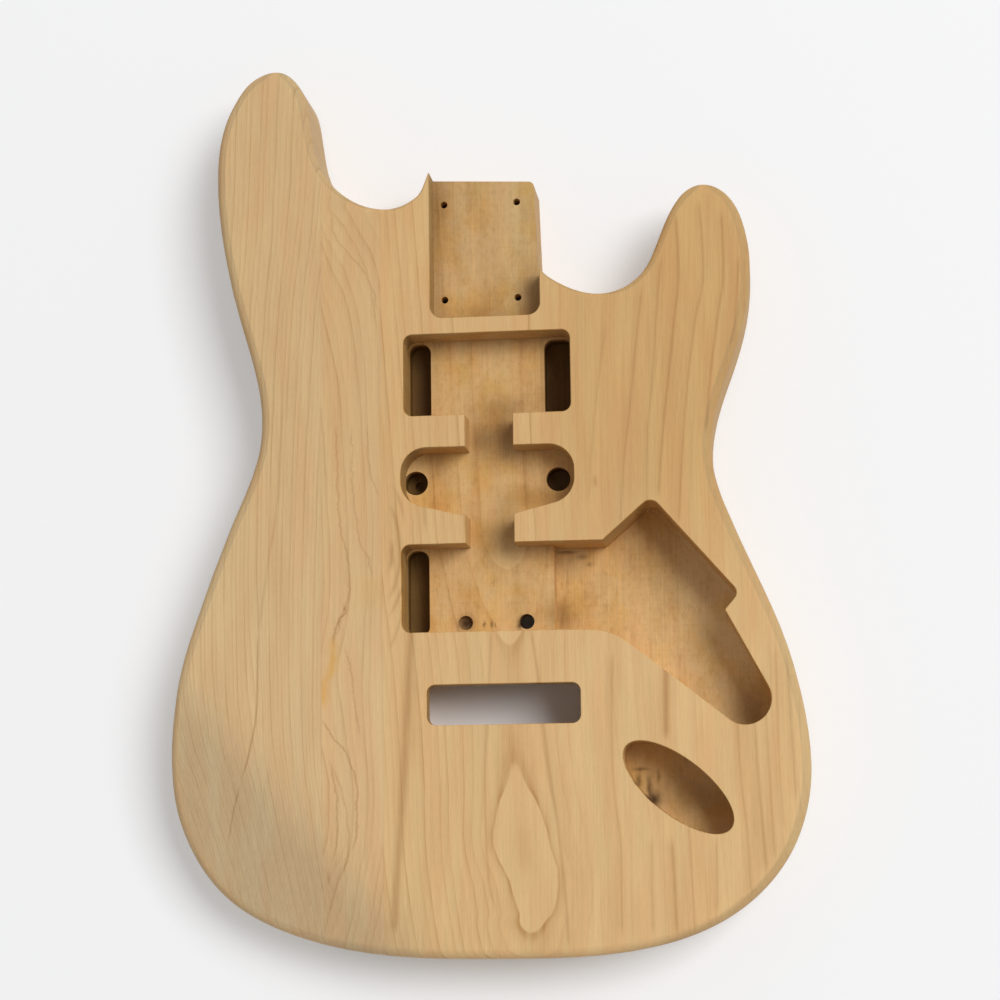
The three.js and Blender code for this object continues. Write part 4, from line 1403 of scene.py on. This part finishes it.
def grain_group(name, grain, groups):
    """One board's rings and strokes."""
    tree, n, given, out = new_group(name + " grain", {"Place": None}, GRAIN_MASKS)
    place = given["Place"]
    x, y, z = n.parts(place)
    wander = n.group(groups["wander"], Place=place, Slow=grain["slow"], Quick=grain["quick"])[0]
    (left_x, left), (right_x, right) = grain["left"], grain["right"]
    limits = {"Value": x, "From Min": left_x, "From Max": right_x}
    share_across = n.add("ShaderNodeMapRange", limits).outputs[0]
    left_shift = n.curve(y, left)
    lean = n.times_plus(n.minus(n.curve(y, right), left_shift), share_across, left_shift)
    moved = n.minus(n.total([x, wander]), lean)
    for *sizes, push in grain["pushes"]:
        moved = n.times_plus(spot(n, groups, x, y, sizes), -push, moved)
    contrast = grain["contrast"]
    if "eye" in grain:
        moved = eye_distance(n, moved, y, z, grain["eye"])
        over_eye = n.times(n.ramp(x, *EYE_BASS_SIDE), n.ramp(x, *EYE_TREBLE_SIDE))
        past = n.ramp(x, *PAST_EYE, contrast, contrast * PAST_EYE_SHARE)
        contrast = n.times_plus(over_eye, n.ramp(y, *EYE_BOOST_ALONG), past)
    turned = n.times_plus(n.times(z, z), grain["curl"], n.times(z, grain["slant"]))
    coordinate = n.math("DIVIDE", n.total([moved, turned]), grain["ring_width"])
    rings = n.group(groups["rings"], Coordinate=coordinate, Order=grain["order"], Phase=grain["phase"])
    for socket in ("Line", "Band"):
        n.feed(out[socket], n.times(rings[socket], contrast))
    n.feed(out["Tone"], rings["Tone"])
    wandering = n.times_plus(wander, STROKE_WANDER, x)
    jagged = n.times_plus(n.swing(place, STROKE_JAG), grain["jag"], wandering)
    broken = n.ramp(n.noise(place, *STROKE_BREAKS), *BREAK_RAMP)
    front = n.ramp(z, *STROKE_REACH_DOWN)
    strokes = streaks(n, groups, grain["strokes"], jagged, y)
    if "lines" in grain:
        strokes = n.total([strokes, streaks(n, groups, grain["lines"], jagged, y, LINE_TAIL)])
    n.feed(out["Strokes"], n.times(n.times(strokes, broken), front, clamp=True))
    if "amber" in grain:
        n.feed(out["Amber"], n.times(streaks(n, groups, grain["amber"], jagged, y), front, clamp=True))
    return tree


def bare_wood_group(groups):
    """Colour, roughness and height of bare wood from its grain."""
    look = bpy.context.scene.guitar_wood
    inputs = {"Place": None, "Early": rgba(look.centre), **dict.fromkeys(GRAIN_MASKS, 0.0)}
    tree, n, given, out = new_group("Bare wood", inputs, ("Colour", "Roughness", "Height"))
    place = given["Place"]
    fibres = n.group(groups["fibres"], Place=place)
    x, y, _ = n.parts(place)
    ripe = n.times(n.ramp(x, *RIPE_ACROSS), n.ramp(y, *RIPE_ALONG))
    early = n.tinted(ripe, given["Early"], look.ripe)
    early = n.tinted(n.ramp(n.noise(place, *BLUSH_CLOUDS), *BLUSH_RAMP), early, look.blush)
    uneven = n.ramp(n.noise(place, *UNEVEN_RINGS), *UNEVEN_RAMP)
    amount = n.times_plus(given["Band"], BAND_SHARE, n.times(given["Line"], LINE_SHARE))
    ringed = n.tinted(n.times(amount, uneven), early, look.late)
    for mask, shade in (("Strokes", look.pitch), ("Amber", look.amber)):
        ringed = n.mix(given[mask], ringed, n.tinted(1.0, early, shade))
    level = n.times_plus(given["Tone"], TONE_SWING, 1.0)
    level = n.times_plus(n.minus(fibres["Fibre"], 0.5), FIBRE_SWING, level)
    level = n.times_plus(n.minus(fibres["Clouds"], 0.5), CLOUD_SWING, level)
    level = n.times_plus(fibres["Pores"], PORE_SHADE, level)
    n.feed(out["Colour"], n.dimmed(ringed, level))
    n.feed(out["Roughness"], n.times_plus(fibres["Fibre"], FIBRE_GLOSS, PLAIN_ROUGHNESS))
    height = n.times_plus(given["Line"], LINE_HEIGHT, fibres["Fibre"])
    n.feed(out["Height"], n.times_plus(fibres["Pores"], PORE_DEPTH, height))
    return tree


def routed_tint(n, groups, place, tint):
    """The wood's colour in the cavities: burnished and mottled, paler with dust and painted light deep at
    the treble end, with painted shade on the walls that face the treble side and the tail and in the deep
    slots, and with smudges and charred spots that are partly painted shade.
    """
    look = bpy.context.scene.guitar_wood
    marks = n.group(groups["routing"], Place=place)
    x, y, z = n.parts(place)
    facing = n.parts(n.add("ShaderNodeNewGeometry").outputs["Normal"])
    up_or_down = n.math("ABSOLUTE", facing["Z"])
    upright = n.ramp(up_or_down, *UPRIGHT)
    # Painted shade on the upright walls that face the treble side and the lamp, strongest on the bass
    # side and above the pickup floors.
    wall_shade_reach = n.times(n.ramp(z, *SHALLOW_WALL_SHADE), n.ramp(x, *BASS_WALL_SHADE))
    walls = n.times(n.times(upright, wall_shade_reach), n.ramp(facing["X"], *LOOKS_TO_TREBLE))
    # Painted shade on the upright walls that face the tail, away from the lamp.
    tail_facing_wall_shade = n.times(upright, n.ramp(facing["Y"], *LOOKS_TO_TAIL))
    pocket = n.times(n.ramp(z, *POCKET_DEPTHS), n.ramp(y, *POCKET_START))
    # Painted shade in the deep slots and drillings, outside the control cavity and above the bridge slot.
    beside_controls = n.math("MAXIMUM", n.ramp(x, *BEFORE_CONTROLS), n.ramp(y, *ABOVE_CONTROLS))
    slot_shade_area = n.times(beside_controls, n.ramp(y, *ABOVE_BRIDGE_SLOT))
    slots = n.times(n.ramp(z, *LEG_SLOT_SHADE_DEPTHS), slot_shade_area)
    # Pale dust and painted light on the deep floors at the treble end, which lie in the shade of their
    # walls.
    dust_and_lit_mask = n.times(n.ramp(z, *DUST_AND_LIGHT_DEPTHS), n.ramp(x, *DUST_AND_LIGHT_ACROSS))
    # Smudges, partly painted shade beside the walls, on level floors only.
    smudges = n.times(n.group(groups["smudges"], Place=place)[0], n.ramp(up_or_down, *LEVEL))
    tint = n.mix(dust_and_lit_mask, tint, rgba(look.dust))
    for mask, shade in (
        (n.times_plus(marks["Gold"], GOLD_SHARE, LEAST_GOLD), look.routed),
        (n.times(marks["Mottle"], BURNT_SHARE), look.burnt),
        (walls, look.walls),
        (tail_facing_wall_shade, look.tail_facing_wall_shade),
        (pocket, look.pocket),
        (slots, look.deep),
        (smudges, look.smudge),
        (n.group(groups["chars"], Place=place)[0], look.char),
    ):
        tint = n.tinted(mask, tint, shade)
    return n.dimmed(tint, marks["Level"])


def face_tint(n, tint):
    """The wood's colour outside, with painted shade: greyer on the roundings that face the treble side
    and the lamp, and on the forearm contour, which looks away from it.
    """
    look = bpy.context.scene.guitar_wood
    facing_x = n.parts(n.add("ShaderNodeNewGeometry").outputs["Normal"])["X"]
    # Painted shade on the roundings that face the treble side and the lamp.
    tint = n.tinted(n.ramp(facing_x, *TREBLE_ROUNDING_SHADE), tint, look.rim)
    # Painted shade on the forearm contour, whose faces look away from the lamp.
    contour = n.times(n.ramp(facing_x, *CONTOUR_SHADE_START), n.ramp(facing_x, *CONTOUR_SHADE_END))
    return n.tinted(contour, tint, look.contour)


def wood_material(name, groups, early, grain_tree, routed):
    """Bare wood of one board. A routed one is browner, burnished and mottled, with painted shade and
    painted light in its cavities.
    """
    material, n = new_material(name)
    place = neck_place(n)
    grain = n.group(grain_tree, Place=place)
    masks = {mask: grain[mask] for mask in GRAIN_MASKS}
    wood = n.group(groups["wood"], Place=place, Early=rgba(early), **masks)
    if routed:
        tint = routed_tint(n, groups, place, wood["Colour"])
    else:
        tint = face_tint(n, wood["Colour"])
    bump = n.add("ShaderNodeBump", {
        "Strength": BUMP_STRENGTH, "Distance": BUMP_HEIGHT, "Height": wood["Height"]})
    shader = n.add("ShaderNodeBsdfPrincipled", {
        "Base Color": tint, "Roughness": wood["Roughness"], "Normal": bump.outputs[0],
        "Specular IOR Level": WOOD_SHINE})
    n.add("ShaderNodeOutputMaterial", {"Surface": shader.outputs[0]})
    return material


def glue_material():
    look = bpy.context.scene.guitar_wood
    material, n = new_material("dried_glue")
    uneven = n.noise(neck_place(n), *UNEVEN_GLUE)
    tint = n.mix(uneven, rgba(look.glue), rgba(look.glue_pale))
    roughness = n.ramp(uneven, *GLUE_RAMP)
    shader = n.add("ShaderNodeBsdfPrincipled", {"Base Color": tint, "Roughness": roughness})
    n.add("ShaderNodeOutputMaterial", {"Surface": shader.outputs[0]})
    return material


def wood_groups():
    groups = {
        "rings": rings_group(),
        "wander": wander_group(),
        "spot": spot_group(),
        "stroke": stroke_group(),
        "fibres": fibres_group(),
        "routing": routing_group(),
    }
    groups["smudges"] = marks_group(groups, "Smudges", SMUDGES_AND_SHADE, SMUDGE_RAGGEDNESS)
    groups["chars"] = marks_group(groups, "Charred spots", CHARS, CHAR_RAGGEDNESS)
    groups["wood"] = bare_wood_group(groups)
    return groups


class GUITAR_OT_routed_body(Operator):
    """Model the rounded, contoured blank and rout its cavities"""

    bl_idname = "guitar.routed_body"
    bl_label = "Routed Body"

    def execute(self, context):
        face = bpy.data.materials.new("face_wood")
        routed = bpy.data.materials.new("routed_wood")
        body = rounded_blank()
        body.data.materials.append(face)
        add_contours(body)
        for make in (neck_cutters, pickup_cutters, control_cutters, back_cutters):
            for cutter in make(routed):
                subtract(body, cutter)
        return {"FINISHED"}


class GUITAR_OT_boards(Operator):
    """Slice the routed body into its glued boards and give each its own grain"""

    bl_idname = "guitar.boards"
    bl_label = "Boards"

    def execute(self, context):
        body = bpy.data.objects["routed_body"]
        look = context.scene.guitar_wood
        early = {
            "outer_bass_board": look.outer,
            "inner_bass_board": look.inner,
            "centre_board": look.centre,
            "treble_board": look.treble,
        }
        groups = wood_groups()
        for name, grain in GRAINS.items():
            low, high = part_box(name)
            board = slice_of(body, name + "_wood", low.x, high.x)
            tree = grain_group(name, grain, groups)
            finishes = {
                "face_wood": wood_material(name + "_face", groups, early[name], tree, False),
                "routed_wood": wood_material(name + "_routed", groups, look.centre, tree, True),
            }
            for place in board.material_slots:
                place.material = finishes[place.material.name]
            finish_piece(board, name)
        return {"FINISHED"}


class GUITAR_OT_glue_lines(Operator):
    """Slice the glue films out of the routed body, and remove the body itself"""

    bl_idname = "guitar.glue_lines"
    bl_label = "Glue Lines"

    def execute(self, context):
        body = bpy.data.objects["routed_body"]
        glue = glue_material()
        for name in ("outer_glue_line", "inner_glue_line", "treble_glue_line"):
            low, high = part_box(name)
            film = slice_of(body, name + "_film", low.x, high.x)
            for place in film.material_slots:
                place.material = glue
            finish_piece(film, name)
        bpy.data.objects.remove(body)
        return {"FINISHED"}


class GUITAR_OT_stage(Operator):
    """Add the floor, the lamp, the even light all round and the camera"""

    bl_idname = "guitar.stage"
    bl_label = "Stage"

    def execute(self, context):
        look = context.scene.guitar_stage
        self.add_floor(look)
        self.add_light(look)
        self.add_camera(context, look)
        return {"FINISHED"}

    def add_floor(self, look):
        bpy.ops.object.select_all(action="DESELECT")
        bpy.ops.mesh.primitive_plane_add(size=look.floor_size)
        floor = bpy.context.active_object
        floor.name = "studio_floor"
        material, n = new_material("pale_floor")
        plain = n.add("ShaderNodeBsdfDiffuse", {"Color": rgba(look.floor)})
        white = n.add("ShaderNodeEmission", {"Color": WHITE, "Strength": 1.0})
        place = n.add("ShaderNodeTexCoord").outputs["Object"]
        middle = (0, blank_sizes().body_length * look.lift_middle, 0)
        away = n.add("ShaderNodeVectorMath", {0: place, 1: middle}, operation="DISTANCE")
        lift = n.ramp(away.outputs["Value"], look.lift_start, look.lift_end, 0.0, look.lift)
        rays = n.add("ShaderNodeLightPath").outputs
        seen = n.total([rays["Is Camera Ray"], rays["Is Glossy Ray"], rays["Is Transmission Ray"]])
        factor = n.times(lift, n.math("MINIMUM", seen, 1.0))
        mixed = n.add("ShaderNodeMixShader", {0: factor, 1: plain.outputs[0], 2: white.outputs[0]})
        n.add("ShaderNodeOutputMaterial", {"Surface": mixed.outputs[0]})
        floor.data.materials.append(material)

    def add_light(self, look):
        level = math.cos(look.key_height)
        across, along = math.cos(look.key_turn), math.sin(look.key_turn)
        direction = Vector((level * across, level * along, math.sin(look.key_height)))
        place = direction * look.key_distance
        bpy.ops.object.light_add(type="AREA", location=place)
        lamp = bpy.context.active_object
        lamp.name = "key_lamp"
        lamp.data.energy = look.key_power
        lamp.data.size = look.key_size
        lamp.rotation_euler = (-place).to_track_quat("-Z", "Y").to_euler()
        world = bpy.data.worlds.new("studio")
        bpy.context.scene.world = world
        world.use_nodes = True
        background = world.node_tree.nodes["Background"]
        background.inputs["Color"].default_value = WHITE
        background.inputs["Strength"].default_value = look.sky

    def add_camera(self, context, look):
        bpy.ops.object.camera_add()
        camera = context.active_object
        camera.name = "camera"
        camera.data.sensor_width = look.sensor
        camera.data.lens = look.lens
        camera.data.shift_x = look.shift
        camera.data.clip_start = look.near_clip
        turn = Matrix((CAMERA_RIGHT, CAMERA_UP, CAMERA_BACK)).transposed().to_4x4()
        camera.matrix_world = Matrix.Translation((look.camera_x, look.camera_y, look.camera_z)) @ turn
        context.scene.camera = camera
        context.scene.view_settings.view_transform = "Standard"


class GUITAR_PT_panel(Panel):
    """Lists the steps of the guitar body in the sidebar"""

    bl_idname = "GUITAR_PT_panel"
    bl_label = "Guitar Body"
    bl_space_type = "VIEW_3D"
    bl_region_type = "UI"
    bl_category = "Guitar Body"

    def draw(self, context):
        for step in STEPS:
            self.layout.operator(step.bl_idname)


STEPS = (GUITAR_OT_routed_body, GUITAR_OT_boards, GUITAR_OT_glue_lines, GUITAR_OT_stage)
GROUPS = {
    "guitar_blank": BlankSizes,
    "guitar_routing": RoutingSizes,
    "guitar_wood": WoodLook,
    "guitar_stage": StageLook,
}


def register():
    for group in GROUPS.values():
        bpy.utils.register_class(group)
    for cls in (*STEPS, GUITAR_PT_panel):
        bpy.utils.register_class(cls)
    for name, group in GROUPS.items():
        setattr(bpy.types.Scene, name, PointerProperty(type=group))


def unregister():
    for name in GROUPS:
        delattr(bpy.types.Scene, name)
    for cls in (GUITAR_PT_panel, *reversed(STEPS)):
        bpy.utils.unregister_class(cls)
    for group in reversed(GROUPS.values()):
        bpy.utils.unregister_class(group)


def main():
    register()
    bpy.ops.guitar.routed_body()
    bpy.ops.guitar.boards()
    bpy.ops.guitar.glue_lines()
    bpy.ops.guitar.stage()


if __name__ == "__main__":
    main()
